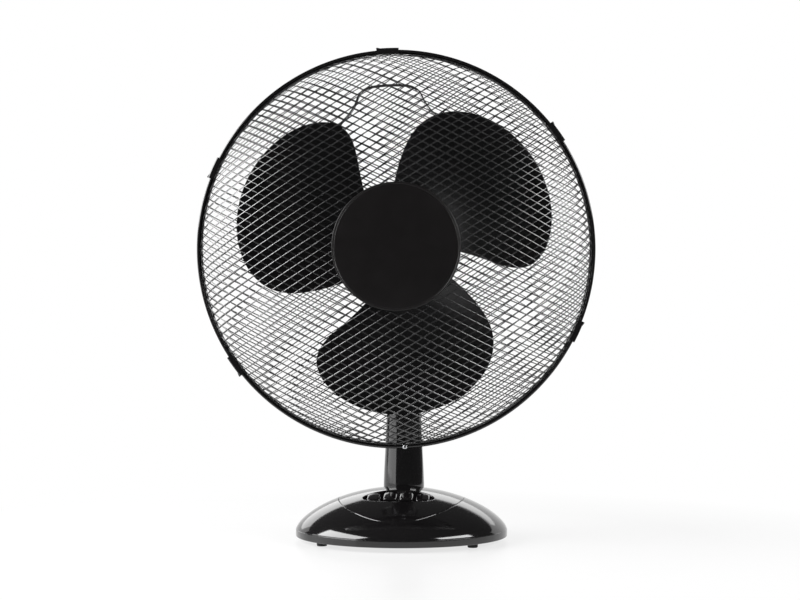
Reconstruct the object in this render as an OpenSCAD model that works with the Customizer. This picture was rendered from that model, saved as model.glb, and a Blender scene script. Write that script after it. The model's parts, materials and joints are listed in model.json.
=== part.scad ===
// Desk fan with a domed round base, a four-key switch, a tilting and swinging head,
// three blades and a two-part mesh guard.
// The base faces -Y and its feet stand on z = 0.

/* [Base] */
// Outer radius of the base band
base_r = 118; // [102:1:140]
// Height of the underside of the band above the desk
band_low = 5.5; // [4:0.5:8]
// Height of the upper edge of the band
band_top = 13.5; // [12:0.5:16]
// Height of the crown of the dome
dome_top = 59.5; // [53:0.5:70]
// Wall of the moulded base shells
shell_t = 2.5; // [2:0.1:3]
// Distance of each foot in from the edge of the base
foot_inset = 16; // [14:1:26]
// Radius of a rubber foot
foot_r = 6; // [4:0.5:8]
// Distance of the sides of the oval control panel in from the edge of the base
panel_side = 48; // [42:1:54]
// Distance of the ends of the oval control panel in from the edge of the base
panel_end = 16; // [15:1:22]

/* [Keys] */
// Distance from one key to the next
key_pitch = 17.8; // [16:0.1:18]
// Width of a key
key_w = 15; // [12:0.5:15.5]
// Length of a key from front to back
key_l = 17; // [14:0.5:17]
// How far a key goes down
key_travel = 4; // [2:0.5:5]
// Height of the floor of the key well
well_floor = 42; // [40:0.5:43]

/* [Column] */
// Distance of the column behind the middle of the base
column_y = 35; // [30:1:40]
// Radius of the column at its foot
column_r = 23; // [21.4:0.2:24]
// Radius of the column at its top
column_top_r = 17.6; // [17:0.2:19]
// Height of the tilt pivot above the desk
tilt_h = 232; // [215:1:240]
// Radius of the tilt bolt
tilt_bolt_r = 4; // [3:0.5:5]

/* [Head] */
// Rise of the fan axis over the tilt pivot
head_rise = 90; // [84:1:108]
// Turn of the head from straight ahead, at rest
head_turn = 4.6; // [0:0.1:10]
// Distance of the fan axis to the side of the swing pin
motor_offset = 8.6; // [6:0.2:10]
// Radius of the swing pin
swing_pin_r = 5; // [4:0.5:6]
// Radius of the motor shaft
shaft_r = 4; // [3:0.5:5]
// Outer radius of the motor cover
cover_r = 58; // [57:1:62]
// Wall of the motor cover
cover_t = 2.2; // [1.6:0.1:2.6]

/* [Guard] */
// Outer radius of the guard rings
guard_r = 215; // [200:1:230]
// Distance from the swing pin forward to the joint of the two guards
guard_u = 100; // [100:1:110]
// Depth of the front mesh dome
front_depth = 62; // [56:1:70]
// Radius of the round badge in the middle of the front guard
badge_r = 67.7; // [60:0.1:75]
// Turn of the whole guard about the fan axis
guard_roll = 2.5; // [0:0.5:5]
// Long way of a mesh diamond
mesh_long = 45; // [40:0.5:56]
// Short way of a mesh diamond
mesh_short = 25.8; // [23:0.1:32]
// Width and thickness of a mesh strand
strand = 1.6; // [1:0.1:2]
// Wire thickness of the carry handle
handle_wire = 3; // [2.4:0.2:4]

/* [Blades] */
// Number of blades
blade_count = 3; // [2:1:3]
// Radius of the blade tips
tip_r = 180; // [170:1:184]
// Radius of the blade hub
hub_r = 34; // [30:1:40]
// Middle of the blades in front of the swing pin
blade_u = 82; // [80:1:86]
// Half of the depth that a blade sweeps
blade_rake = 19; // [14:1:20]
// Half of the angle that a blade spans
blade_half = 46.5; // [40:0.5:50]
// Place of the first blade, clockwise from the top
blade_start = 53; // [0:1:119]

/* [Swing drive] */
// Teeth on the worm wheel
wheel_teeth = 40; // [36:1:40]
// Teeth on the pinion
pinion_teeth = 10; // [10:1:12]
// Teeth on the crank gear
crank_teeth = 40; // [36:1:40]
// Throw of the crank
crank_throw = 12; // [9:0.5:13]
// How far the swing knob lifts
knob_lift = 6; // [4:0.5:8]

/* [Hidden] */
$fn = 64;
fine = 96;
// Number of speed keys, the first one is off
key_count = 4;

gloss_black = [0.03, 0.03, 0.035];
satin_black = [0.05, 0.05, 0.055];
steel = [0.7, 0.71, 0.73];
zinc = [0.6, 0.6, 0.62];
copper = [0.72, 0.42, 0.22];
bronze = [0.66, 0.52, 0.3];
nylon = [0.9, 0.89, 0.84];
rubber = [0.02, 0.02, 0.02];

// Gap between neighbours that move or are fitted by hand
gap = 0.3;
// Radial clearance of a shaft that turns in a bore
run = 0.05;
// Radial clearance of a piece pressed or threaded into another
snug = 0.02;
// Overshoot of a cut past the face that it goes through
eps = 0.5;

// ---- shapes used by several pieces ----

// Dome outline from the axis to its rim, as [radius, height] points
dome_power = 1.95;
dome_root = 1.46;
dome_steps = 20;
function dome_h(r, rim, low, high) =
    low + (high - low) * pow(max(0, 1 - pow(r / rim, dome_power)), 1 / dome_root);
function dome_outline(rim, low, high) = [
    for (i = [0 : dome_steps]) let (r = rim * sin(90 * i / dome_steps)) [r, dome_h(r, rim, low, high)]
];

// Solid dome, smaller all over by inset, with a straight foot down to z = low
module dome_solid(inset, low) {
    rim = dome_rim - inset;
    rotate_extrude($fn = fine)
        polygon(concat([[0, low]], dome_outline(rim, band_top, dome_top - inset), [[rim, low]]));
}

// Oval outline with its own half width and half length
function oval(a, b, steps = 72) = [for (i = [1 : steps]) let (t = 360 * i / steps) [a * cos(t), b * sin(t)]];
module oval_prism(a, b, low, high) translate([0, 0, low]) linear_extrude(high - low) polygon(oval(a, b));

// Ring with a square section
module ring(outer, inner, low, high) {
    translate([0, 0, low]) difference() {
        cylinder(r = outer, h = high - low);
        translate([0, 0, -eps]) cylinder(r = inner, h = high - low + 2 * eps);
    }
}

// Copies of a piece on a circle, each turned outward
module around(angles, radius) for (a = angles) rotate(a) translate([radius, 0, 0]) children();

// Box from its low corner to its high corner
module block(low, high) translate(low) cube(high - low);

// Screw with a round head, its shank pointing down from z = 0
module screw(shank_r, shank_l, head_r, head_l) {
    cylinder(r = head_r, h = head_l);
    translate([0, 0, -shank_l]) cylinder(r = shank_r, h = shank_l);
}

// Spur gear outline: straight-sided teeth with some backlash
function gear_outline(teeth, module_mm, tooth_share) = let (
    pitch_r = teeth * module_mm / 2,
    half = 180 / teeth * tooth_share
) [
    for (k = [0 : teeth - 1]) let (mid = 360 * k / teeth)
    for (p = [[pitch_r - 1.2 * module_mm, -1.35 * half], [pitch_r + 0.9 * module_mm, -0.55 * half],
              [pitch_r + 0.9 * module_mm, 0.55 * half], [pitch_r - 1.2 * module_mm, 1.35 * half]])
    p[0] * [cos(mid + p[1]), sin(mid + p[1])]
];

// ---- base ----

dome_rim = base_r - 0.4;
wall_r = base_r - shell_t;
plate_low = band_low + 1;
plate_t = 2;
plate_top = plate_low + plate_t;
foot_ring = base_r - foot_inset;
foot_peg_r = 2.2;
foot_angles = [36.6, 143.4, 216.6, 323.4];
panel_a = base_r - panel_side;
panel_b = base_r - panel_end;
screw_angles = [0, 52, 128, 180, 232, 308];
screw_ring = foot_ring - 9;
screw_r = 2;
screw_l = 9;
screw_head_r = 3.6;
screw_head_t = 1.6;
boss_r = 5;
ledge_w = 7;
ledge_low = shell_t + 2.5;
inlet_h = 16;
inlet_r = 5;
cord_r = 3.6;
bush_flange_r = 6.8;
bush_flange_t = 1.5;
panel_screw_angles = [20, 160, 200, 340];

// Middle of the oval seam, inset by some distance, at one angle
function seam_point(angle, inset) = [(panel_a - inset) * cos(angle), (panel_b - inset) * sin(angle)];

module base_cover() color(gloss_black) {
    difference() {
        union() {
            ring(base_r, wall_r, band_low, band_top);
            difference() {
                dome_solid(0, band_top - eps);
                dome_solid(shell_t, band_top - 2 * eps);
                oval_prism(panel_a, panel_b, 0, dome_top + 1);
            }
            // Ledge that carries the control panel, hung from the edge of the opening
            difference() {
                union() {
                    intersection() {
                        dome_solid(shell_t + gap, plate_top);
                        oval_prism(panel_a + 3, panel_b + 3, 0, dome_top);
                    }
                    difference() {
                        dome_solid(shell_t / 2, plate_top);
                        oval_prism(panel_a, panel_b, 0, dome_top + 1);
                    }
                }
                dome_solid(ledge_low, plate_top - 1);
                oval_prism(panel_a - ledge_w, panel_b - ledge_w, 0, dome_top + 1);
                difference() {
                    cylinder(r = base_r + 20, h = dome_top + 1);
                    oval_prism(panel_a + 3, panel_b + 3, -1, dome_top + 2);
                }
            }
            // Bosses for the base screws
            intersection() {
                dome_solid(shell_t / 2, plate_top);
                around(screw_angles, screw_ring) cylinder(r = boss_r, h = dome_top);
            }
        }
        around(screw_angles, screw_ring) translate([0, 0, plate_top - eps])
            cylinder(r = screw_r + snug, h = screw_l);
        translate([0, base_r + 10, inlet_h]) rotate([90, 0, 0]) cylinder(r = inlet_r + snug, h = 20);
        for (a = panel_screw_angles)
            translate(seam_point(a, ledge_w / 2)) cylinder(r = 1.6, h = dome_top + 1);
        // The panel drops in from above
        difference() {
            oval_prism(panel_a, panel_b, 0, dome_top + 1);
            dome_solid(shell_t + gap, plate_top - 2);
        }
    }
}

// Key well
well_a = 39;
well_b = 20;
well_y = -44;
well_wall = 2.2;
key_y = well_y;
stem_w = 7;
stem_l = 8;
switch_low = 17;
function key_x(k) = (k - (key_count - 1) / 2) * key_pitch;

// Upright holes for the stems of the keys
module stem_holes(low) {
    half = [stem_w / 2 + gap, stem_l / 2 + gap];
    for (k = [0 : key_count - 1])
        translate([key_x(k), key_y, 0]) block([-half[0], -half[1], low], [half[0], half[1], dome_top]);
}

// Column seat
seat_z = 54.5;
seat_t = 9;
seat_r = column_r + 1;
spigot_r = 15;
nut_h = 9;

module control_panel() color(gloss_black) {
    difference() {
        intersection() {
            oval_prism(panel_a - gap, panel_b - gap, 0, dome_top + 2);
            union() {
                difference() {
                    dome_solid(0, band_top - eps);
                    dome_solid(shell_t, band_top - 2 * eps);
                }
                intersection() {
                    dome_solid(0, band_top - eps);
                    translate([0, well_y, 0])
                        oval_prism(well_a + well_wall, well_b + well_wall, well_floor - 2, dome_top);
                }
                // Seat of the column, and the wall round its foot
                translate([0, column_y, seat_z - seat_t]) cylinder(r = seat_r, h = seat_t);
                intersection() {
                    dome_solid(0, band_top - eps);
                    translate([0, column_y, seat_z - seat_t]) cylinder(r = seat_r + shell_t, h = dome_top);
                }
            }
        }
        translate([0, well_y, 0]) oval_prism(well_a, well_b, well_floor, dome_top + 1);
        translate([0, column_y, seat_z]) cylinder(r = seat_r, h = 20);
        translate([0, column_y, 0]) cylinder(r = spigot_r + gap, h = dome_top);
        stem_holes(0);
        for (a = panel_screw_angles)
            translate(concat(seam_point(a, ledge_w / 2), 0)) cylinder(r = 1.3, h = panel_screw_h(a));
    }
}

// Height at which a panel screw ends, just under the skin of the dome
function seam_h(a, inset) =
    dome_h(norm(seam_point(a, ledge_w / 2)), dome_rim - inset, band_top, dome_top - inset);
function panel_screw_h(a) = seam_h(a, 0) - 1;

module base_plate() color(satin_black) {
    difference() {
        translate([0, 0, plate_low]) cylinder(r = wall_r - gap, h = plate_t, $fn = fine);
        around(foot_angles, foot_ring) cylinder(r = foot_peg_r, h = plate_top + 1);
        around(screw_angles, screw_ring) cylinder(r = screw_r + gap, h = plate_top + 1);
    }
}

weight_t = 7.5;
weight_r = screw_ring - boss_r - 2;
weight_bore = 30;

module counterweight() color(zinc) ring(weight_r, weight_bore, plate_top, plate_top + weight_t);

module rubber_feet() color(rubber) {
    around(foot_angles, foot_ring) {
        cylinder(r1 = foot_r - 0.6, r2 = foot_r, h = plate_low);
        translate([0, 0, plate_low]) cylinder(r = foot_peg_r - snug, h = plate_t + 1);
    }
}

module base_screws() color(steel) {
    around(screw_angles, screw_ring)
        translate([0, 0, plate_low]) rotate([180, 0, 0]) screw(screw_r, screw_l, screw_head_r, screw_head_t);
}

module panel_screws() color(steel) {
    for (a = panel_screw_angles)
        translate(concat(seam_point(a, ledge_w / 2), seam_h(a, ledge_low) - 2)) rotate([180, 0, 0])
            screw(1.25, panel_screw_h(a) - seam_h(a, ledge_low) + 1.6, 2.6, 1.5);
}

module cord_bush() color(rubber) {
    translate([0, base_r, inlet_h]) rotate([90, 0, 0]) {
        ring(inlet_r, cord_r, -bush_flange_t, 7);
        ring(bush_flange_r, cord_r, -bush_flange_t, 0);
    }
}

// The capacitor stands on the counterweight, beside the switch
capacitor = [24, 38, 20];
capacitor_inset = 14;
capacitor_at = [-weight_r + capacitor_inset, -4, plate_top + weight_t];

module run_capacitor() color(nylon) block(capacitor_at, capacitor_at + capacitor);

module switch_body() color(nylon) {
    half = [key_count * key_pitch / 2 + 2, key_l / 2];
    difference() {
        translate([0, key_y, 0]) block([-half[0], -half[1], switch_low], [half[0], half[1], well_floor - 2]);
        stem_holes(switch_low + 3);
    }
    // Feet down to the counterweight
    for (side = [-1, 1]) translate([side * (half[0] - 6), key_y, plate_top + weight_t])
        cylinder(r = 4, h = switch_low - plate_top - weight_t);
}

// Key cap with a front that leans back, and its stem
module speed_key(k) {
    cap_low = well_floor + key_travel + gap;
    cap_front = dome_h(norm([key_x(k), key_y - key_l / 2]), dome_rim, band_top, dome_top) + 1.8;
    cap_back = dome_h(norm([key_x(k), key_y + key_l / 2]), dome_rim, band_top, dome_top) + 0.9;
    stem_low = switch_low + 3 + key_travel + gap;
    color(gloss_black) translate([key_x(k), key_y, 0]) {
        translate([-key_w / 2, 0, 0]) rotate([90, 0, 90]) linear_extrude(key_w)
            polygon([[-key_l / 2, cap_low], [-key_l / 2, cap_front - 2.5], [-key_l / 2 + 2.5, cap_front],
                     [key_l / 2, cap_back], [key_l / 2, cap_low]]);
        block([-stem_w / 2, -stem_l / 2, stem_low], [stem_w / 2, stem_l / 2, cap_low + 1]);
    }
}

// ---- column and tilt joint ----

knuckle_r = 10;
// Rise from the tilt pivot to the neck of the bracket, and drop from it to the shoulder of the column
neck_rise = knuckle_r + 4;
shoulder_h = tilt_h - neck_rise;
head_h = tilt_h + head_rise;
tongue_w = 16;
ear_w = 6;
column_wall = 3;
spigot_low = seat_z - seat_t - nut_h - 1;
// The bracket ends level with the underside of the motor cover
bracket_top = head_h - cover_r;
swing_flange = 8;

// Level cylinder along X, its middle over the origin
module cross_bar(r, l) rotate([0, 90, 0]) cylinder(r = r, h = l, center = true);

module column() color(gloss_black) translate([0, column_y, 0]) {
    difference() {
        union() {
            rotate_extrude($fn = fine) polygon([
                [0, seat_z], [column_r - 4, seat_z], [column_r - 1.2, seat_z + 1.2], [column_r, seat_z + 4],
                [column_r - 1.7, seat_z + 43.5], [column_top_r + 1.2, seat_z + 101.5],
                [column_top_r, shoulder_h - 2], [column_top_r - 1.5, shoulder_h], [0, shoulder_h]
            ]);
            translate([0, 0, spigot_low]) cylinder(r = spigot_r, h = seat_z + 1 - spigot_low);
            translate([0, 0, tilt_h]) cross_bar(knuckle_r, tongue_w);
            block([-tongue_w / 2, -knuckle_r, shoulder_h - 1], [tongue_w / 2, knuckle_r, tilt_h]);
        }
        // Bore for the cord, closed under the tilt joint
        translate([0, 0, spigot_low - 1])
            cylinder(r = spigot_r - column_wall, h = shoulder_h - spigot_low - 8);
        translate([0, 0, tilt_h]) cross_bar(tilt_bolt_r + run, 2 * tongue_w);
    }
}

module column_nut() color(nylon) {
    translate([0, column_y, 0]) ring(spigot_r + 8, spigot_r + snug, seat_z - seat_t - nut_h, seat_z - seat_t);
}

// Link post on the tilt bracket, beside the swing pin
post_x = 22;
post_r = 2.5;
arm_half = 5;
pin_low_h = tilt_h + neck_rise + 3;
ear_out = tongue_w / 2 + gap + ear_w;
link_low = bracket_top + 2;
link_t = 3;
link_top = link_low + link_t;
washer_t = 1;

module tilt_bracket() color(satin_black) {
    translate([0, column_y, 0]) {
        difference() {
            union() {
                translate([0, 0, tilt_h + neck_rise])
                    cylinder(r = ear_out, h = bracket_top - tilt_h - neck_rise);
                for (side = [-1, 1]) {
                    translate([side * (tongue_w / 2 + gap + ear_w / 2) - ear_w / 2, 0, tilt_h]) {
                        rotate([0, 90, 0]) cylinder(r = knuckle_r, h = ear_w);
                        block([0, -knuckle_r, 0], [ear_w, knuckle_r, neck_rise + 3]);
                    }
                }
                translate([0, 0, bracket_top - swing_flange]) {
                    block([0, -arm_half, 0], [post_x, arm_half, swing_flange]);
                    translate([post_x, 0, 0]) cylinder(r = arm_half, h = swing_flange);
                }
                translate([post_x, 0, bracket_top - 1]) cylinder(r = 4, h = 3 - gap);
                translate([post_x, 0, bracket_top]) cylinder(r = post_r, h = link_top - bracket_top + gap);
                translate([post_x, 0, link_top + gap]) cylinder(r = post_r + 1.8, h = 1.4);
            }
            translate([0, 0, pin_low_h - 0.5]) cylinder(r = swing_pin_r + run, h = bracket_top - tilt_h);
            translate([0, 0, tilt_h]) cross_bar(tilt_bolt_r + snug, 4 * ear_out);
        }
    }
}

module tilt_bolt() color(steel) {
    translate([-ear_out - 3, column_y, tilt_h]) rotate([0, 90, 0]) {
        cylinder(r = 7, h = 3);
        cylinder(r = tilt_bolt_r, h = 2 * ear_out + 8);
    }
}

module tilt_nut() color(steel) {
    translate([ear_out, column_y, tilt_h]) rotate([0, 90, 0]) difference() {
        cylinder(r = 7.5, h = 4, $fn = 6);
        translate([0, 0, -1]) cylinder(r = tilt_bolt_r + snug, h = 6);
    }
}

module thrust_washer() color(nylon) {
    translate([0, column_y, 0]) ring(8, swing_pin_r + 0.1, bracket_top, bracket_top + washer_t);
}

// ---- places in the head ----

// Head frame: origin where the swing axis passes the height of the fan axis
module head_frame() translate([0, column_y, head_h]) rotate([0, 0, head_turn]) children();

// Frame on the fan axis: z runs forward, y runs up
module fan_axis() head_frame() translate([-motor_offset, 0, 0]) rotate([90, 0, 0]) children();

// The same frame, turned as the guard is turned
module guard_frame() fan_axis() rotate([0, 0, guard_roll]) children();

// ---- motor ----

stack_front = 10;
stack_back = -14;
stack_l = stack_front - stack_back;
slot_ring = 30;
slot_r = 3;
stator_r = 42;
rotor_r = 23.1;
air_gap = 0.4;
coil_in = rotor_r + 2.1;
coil_out = coil_in + 10;
coil_t = 9.2;
bell_r = 44;
bell_front = 24;
bell_back = -31;
bell_wall = 4;
bush_r = 8;
bush_l = 8;
bearing_boss_r = 11;
bolt_ring = 38;
bolt_r = 2;
bolt_head_r = 3.2;
bolt_angles = [45, 135, 225, 315];
shaft_back = -38;
worm_l = 20;

module stator_core() color(steel) fan_axis() {
    difference() {
        translate([0, 0, stack_back]) cylinder(r = stator_r, h = stack_l, $fn = fine);
        translate([0, 0, stack_back - eps]) {
            cylinder(r = rotor_r + air_gap, h = stack_l + 2 * eps);
            around(bolt_angles, bolt_ring) cylinder(r = bolt_r + snug, h = stack_l + 2 * eps);
            around([0 : 22.5 : 359], slot_ring) cylinder(r = slot_r, h = stack_l + 2 * eps);
        }
    }
}

module windings() color(copper) fan_axis() {
    for (z = [stack_front + 0.1, stack_back - coil_t - 0.1]) translate([0, 0, z]) rotate_extrude()
        polygon([[coil_in + 0.3, 0], [coil_out - 0.7, 0], [coil_out, 2], [coil_out, coil_t - 2.2],
                 [coil_out - 2.2, coil_t], [coil_in + 1.8, coil_t], [coil_in, coil_t - 2.2], [coil_in, 2]]);
}

// Bearing shield: skirt from the stator, flat wall and a boss for the bush
module bell(wall_z, skirt_z, boss_z) {
    low = min(wall_z, skirt_z);
    difference() {
        union() {
            ring(bell_r, bell_r - 3.5, min(low, skirt_z), max(wall_z, skirt_z));
            translate([0, 0, wall_z - (wall_z > skirt_z ? bell_wall : 0)])
                cylinder(r = bell_r, h = bell_wall);
            translate([0, 0, min(boss_z, wall_z)]) cylinder(r = bearing_boss_r, h = abs(boss_z - wall_z));
            if (wall_z < skirt_z) translate([0, 0, wall_z]) cylinder(r = bearing_boss_r, h = 9);
        }
        translate([0, 0, -60]) cylinder(r = shaft_r + 1, h = 120);
        translate([0, 0, bush_z(wall_z)]) cylinder(r = bush_r + snug, h = bush_l);
        around(bolt_angles, bolt_ring) translate([0, 0, bell_back + 2]) cylinder(r = bolt_r + snug, h = 70);
    }
}
function bush_z(wall_z) = wall_z > 0 ? wall_z : wall_z + 1;

module front_bell() color(zinc) fan_axis() difference() {
    bell(bell_front, stack_front, bell_front + 8);
    translate([0, 0, bell_front]) cylinder(r = bush_r + snug, h = 20);
}

module rear_bell() color(zinc) fan_axis() bell(bell_back, stack_back, bell_back);

module motor_bushes() color(bronze) fan_axis() {
    for (z = [bush_z(bell_front), bush_z(bell_back)]) ring(bush_r, shaft_r + run, z, z + bush_l - snug);
}

module through_bolts() color(steel) fan_axis() {
    around(bolt_angles, bolt_ring) translate([0, 0, bell_front])
        screw(bolt_r, bell_front - bell_back - 2.5, bolt_head_r, 1.6);
}

module rotor() color(steel) fan_axis() {
    ring(rotor_r, shaft_r + snug, stack_back, stack_front);
    ring(rotor_r - 4, rotor_r - 8, stack_front, stack_front + 3);
    ring(rotor_r - 4, rotor_r - 8, stack_back - 3, stack_back);
}

// The hub of the blades sits between these two places on the shaft
hub_back = blade_u - 24;
hub_front = blade_u + 22;
nut_l = 14;
spinner_r = 15.5;

module motor_shaft() color(steel) fan_axis() {
    translate([0, 0, shaft_back]) cylinder(r = shaft_r, h = hub_front + nut_l - 3 - shaft_back);
}

// ---- swing drive ----

wheel_module = 0.75;
wheel_r = wheel_teeth * wheel_module / 2;
worm_r = 5;
worm_lead = PI * wheel_module;
crank_module = 0.8;
// Share of the pitch that a tooth takes, the rest is play
tooth_share = 0.5;
pinion_r = pinion_teeth * crank_module / 2;
crank_r = crank_teeth * crank_module / 2;
spindle_x = worm_r + wheel_r - motor_offset;
spindle_u = -50.5;
spindle_r = 3;
crank_x = -4;
crank_u = spindle_u - sqrt(pow(pinion_r + crank_r, 2) - pow(spindle_x - crank_x, 2));
mesh_angle = atan2(crank_u - spindle_u, crank_x - spindle_x);
box_floor = -43;
box_top = 10;
box_step = -10;
box_wall = 2.5;
box_left = -24;
box_right = 20;
box_wide = spindle_x + wheel_r + 4.5;
box_front = bell_back;
box_back = crank_u - crank_r - 4.5;
disc_low = link_top + 3 + gap - head_h;
disc_t = 2.6;

// One-start worm: a round bar whose radius swells and shrinks along the screw line
worm_rows_per_turn = 6;
worm_sides = 16;
function worm_wave(t) = let (f = abs(2 * (t - floor(t)) - 1))
    worm_r - 0.85 + 1.5 * min(1, max(0, (f - 0.42) / 0.3));
module worm() color(steel) fan_axis() {
    rows = floor(worm_l / worm_lead * worm_rows_per_turn);
    points = [
        for (i = [0 : rows]) let (z = shaft_back - worm_l * (1 - i / rows))
        for (j = [0 : worm_sides - 1]) let (
            a = 360 * j / worm_sides,
            r = (i == 0 || i == rows) ? worm_r - 1.2 : worm_wave((z - spindle_u) / worm_lead - a / 360)
        ) [r * cos(a), r * sin(a), z]
    ];
    sides = [
        for (i = [0 : rows - 1]) for (j = [0 : worm_sides - 1]) let (
            a = i * worm_sides + j,
            b = i * worm_sides + (j + 1) % worm_sides
        ) each [[a, a + worm_sides, b], [b, a + worm_sides, b + worm_sides]]
    ];
    ends = [
        [for (j = [0 : worm_sides - 1]) j],
        [for (j = [worm_sides - 1 : -1 : 0]) rows * worm_sides + j]
    ];
    polyhedron(concat(points), concat(sides, ends));
}

module worm_wheel() color(nylon) head_frame() {
    translate([spindle_x, -spindle_u, -2.5]) difference() {
        rotate(180 + 180 / wheel_teeth) linear_extrude(5)
            polygon(gear_outline(wheel_teeth, wheel_module, tooth_share));
        translate([0, 0, -1]) cylinder(r = spindle_r + snug, h = 8);
    }
}

spindle_top = 52;
knob_rod_r = 1.5;
knob_rod_low = spindle_top - 16 - knob_lift;

module gear_spindle() color(steel) head_frame() {
    translate([spindle_x, -spindle_u, 0]) difference() {
        union() {
            translate([0, 0, box_floor + 1]) cylinder(r = spindle_r, h = spindle_top - box_floor - 1);
            translate([0, 0, -33]) rotate(-mesh_angle) linear_extrude(8)
                polygon(gear_outline(pinion_teeth, crank_module, tooth_share));
        }
        translate([0, 0, knob_rod_low - gap]) cylinder(r = knob_rod_r + run, h = spindle_top);
    }
}

// Places of the swing crank, seen from above in the bracket's own frame
crank_neutral = [crank_x, -crank_u];
function turned(p, a) = [p[0] * cos(a) - p[1] * sin(a), p[0] * sin(a) + p[1] * cos(a)];
crank_now = turned(crank_neutral, head_turn);
post_at = [post_x, 0];
link_l = norm(post_at - crank_neutral);
crank_reach = norm(post_at - crank_now);
crank_bend = acos((crank_reach * crank_reach + crank_throw * crank_throw - link_l * link_l)
    / (2 * crank_reach * crank_throw));
to_post = atan2(post_at[1] - crank_now[1], post_at[0] - crank_now[0]);
crank_pin_angle = to_post - crank_bend - head_turn;
crank_pin_at = crank_now + crank_throw * [cos(to_post - crank_bend), sin(to_post - crank_bend)];
link_angle = atan2(crank_pin_at[1] - post_at[1], crank_pin_at[0] - post_at[0]);

module crank_gear() color(nylon) head_frame() {
    translate([crank_x, -crank_u, 0]) {
        translate([0, 0, -32]) rotate(-mesh_angle + 180 / crank_teeth * (crank_teeth % 2 == 0 ? 1 : 0))
            linear_extrude(6) polygon(gear_outline(crank_teeth, crank_module, tooth_share));
        translate([0, 0, disc_low]) cylinder(r = 3, h = -32 - disc_low + 1);
        translate([0, 0, disc_low]) cylinder(r = crank_throw + 4, h = disc_t);
        rotate(crank_pin_angle) translate([crank_throw, 0, disc_low - 2.4]) cylinder(r = 2.4, h = 2.5);
    }
}

module swing_link() color(steel) {
    link_half = 2.5;
    translate([post_x, column_y, link_low]) rotate(link_angle) difference() {
        union() {
            translate([0, -link_half, 0]) cube([link_l, 2 * link_half, link_t]);
            for (x = [0, link_l]) translate([x, 0, 0]) cylinder(r = 4.4, h = link_t);
        }
        for (x = [0, link_l]) translate([x, 0, -1]) cylinder(r = post_r + run, h = link_t + 2);
    }
}

module gearbox_housing() color(zinc) head_frame() {
    difference() {
        union() {
            block([box_left, -box_front, box_floor], [box_right, -box_back, box_top]);
            block([box_left, -box_front, box_step], [box_wide, -spindle_u + wheel_r + 4.5, box_top]);
            translate([-motor_offset, -box_back - 1, 0]) rotate([-90, 0, 0])
                cylinder(r = 5, h = cover_inner_end + box_back + 1);
        }
        block([box_left + box_wall, -box_front + box_wall, box_floor + 5],
              [box_right - box_wall, -box_back - box_wall, box_top + 1]);
        block([spindle_x - 4, -box_front + box_wall, box_step + box_wall],
              [box_wide - box_wall, -spindle_u + wheel_r + 4.5 - box_wall, box_top + 1]);
        translate([-motor_offset, 0, 0]) rotate([-90, 0, 0]) cylinder(r = worm_r + 1.5, h = -shaft_back + 8);
        translate([-motor_offset, 0, 0]) rotate([-90, 0, 0]) translate([0, 0, -box_back + 4])
            cylinder(r = 1.5, h = 60);
        translate([spindle_x, -spindle_u, box_floor + 1]) cylinder(r = spindle_r + run, h = 20);
        translate([crank_x, -crank_u, box_floor - 1]) cylinder(r = 3 + run, h = 20);
    }
}

module gearbox_cover() color(satin_black) head_frame() {
    difference() {
        union() {
            block([box_left, -box_front, box_top], [box_right, -box_back, box_top + 2.5]);
            block([box_left, -box_front, box_top], [box_wide, -spindle_u + wheel_r + 4.5, box_top + 2.5]);
        }
        translate([spindle_x, -spindle_u, box_top - 1]) cylinder(r = spindle_r + run, h = 6);
    }
}

module swing_knob() color(gloss_black) head_frame() {
    translate([spindle_x, -spindle_u, 0]) {
        translate([0, 0, knob_rod_low]) cylinder(r = knob_rod_r, h = cover_r + 2 - knob_rod_low);
        translate([0, 0, cover_r + 1]) rotate_extrude()
            polygon([[0, 0], [4, 0], [4, 5], [6.5, 6], [7.5, 9], [8, 18], [7, 20], [0, 20.6]]);
    }
}

module swing_block() color(zinc) head_frame() {
    difference() {
        union() {
            block([-motor_offset - 16, gap - stack_front, stator_floor - 9], [16, 9, stator_floor + 7]);
            translate([0, 0, washer_top - head_h])
                cylinder(r = swing_pin_r + 1.8, h = head_h + stator_floor - 5 - washer_top);
        }
        translate([-motor_offset, -20, 0]) rotate([-90, 0, 0])
            cylinder(r = stator_r + 0.1, h = 40, $fn = fine);
        translate([0, 0, washer_top - head_h - 1])
            cylinder(r = swing_pin_r + snug, h = head_h - washer_top + 1);
    }
}
stator_floor = -stator_r;
washer_top = bracket_top + washer_t + 0.15;

module swing_pin() color(steel) head_frame() {
    pin_low = pin_low_h - head_h;
    translate([0, 0, pin_low]) cylinder(r = swing_pin_r, h = stator_floor - 0.6 - pin_low);
}

// ---- motor covers ----

collar_z = bell_front;
neck_r = 20;
neck_end = 46;
hub_plate_z = 34;
hub_plate_t = 2;
cover_front = collar_z + 1;
cover_bend = -66;
cover_end = -100;
cover_inner_end = -cover_end - cover_t - gap;

module motor_collar() color(gloss_black) fan_axis() {
    difference() {
        union() {
            translate([0, 0, collar_z]) cylinder(r = cover_r - cover_t - gap, h = 3, $fn = fine);
            translate([0, 0, cover_front]) cylinder(r = cover_r, h = 2, $fn = fine);
            translate([0, 0, collar_z]) cylinder(r = neck_r + 2, h = hub_plate_z - collar_z);
            translate([0, 0, collar_z]) cylinder(r = neck_r, h = neck_end - collar_z);
        }
        translate([0, 0, collar_z - 1]) cylinder(r = bearing_boss_r + gap, h = 40);
        around(bolt_angles, bolt_ring) translate([0, 0, collar_z - 1]) cylinder(r = bolt_head_r + gap, h = 3);
    }
}

cover_steps = 12;
function cover_outline(r, end) = [
    for (i = [0 : cover_steps]) let (s = i / cover_steps, a = 90 * s)
    [r * pow(cos(a), 0.8), cover_bend - (cover_bend - end) * pow(sin(a), 0.8)]
];

module cover_form(r, end, front) rotate_extrude($fn = fine)
    polygon(concat([[0, front], [r, front]], cover_outline(r, end)));

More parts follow.
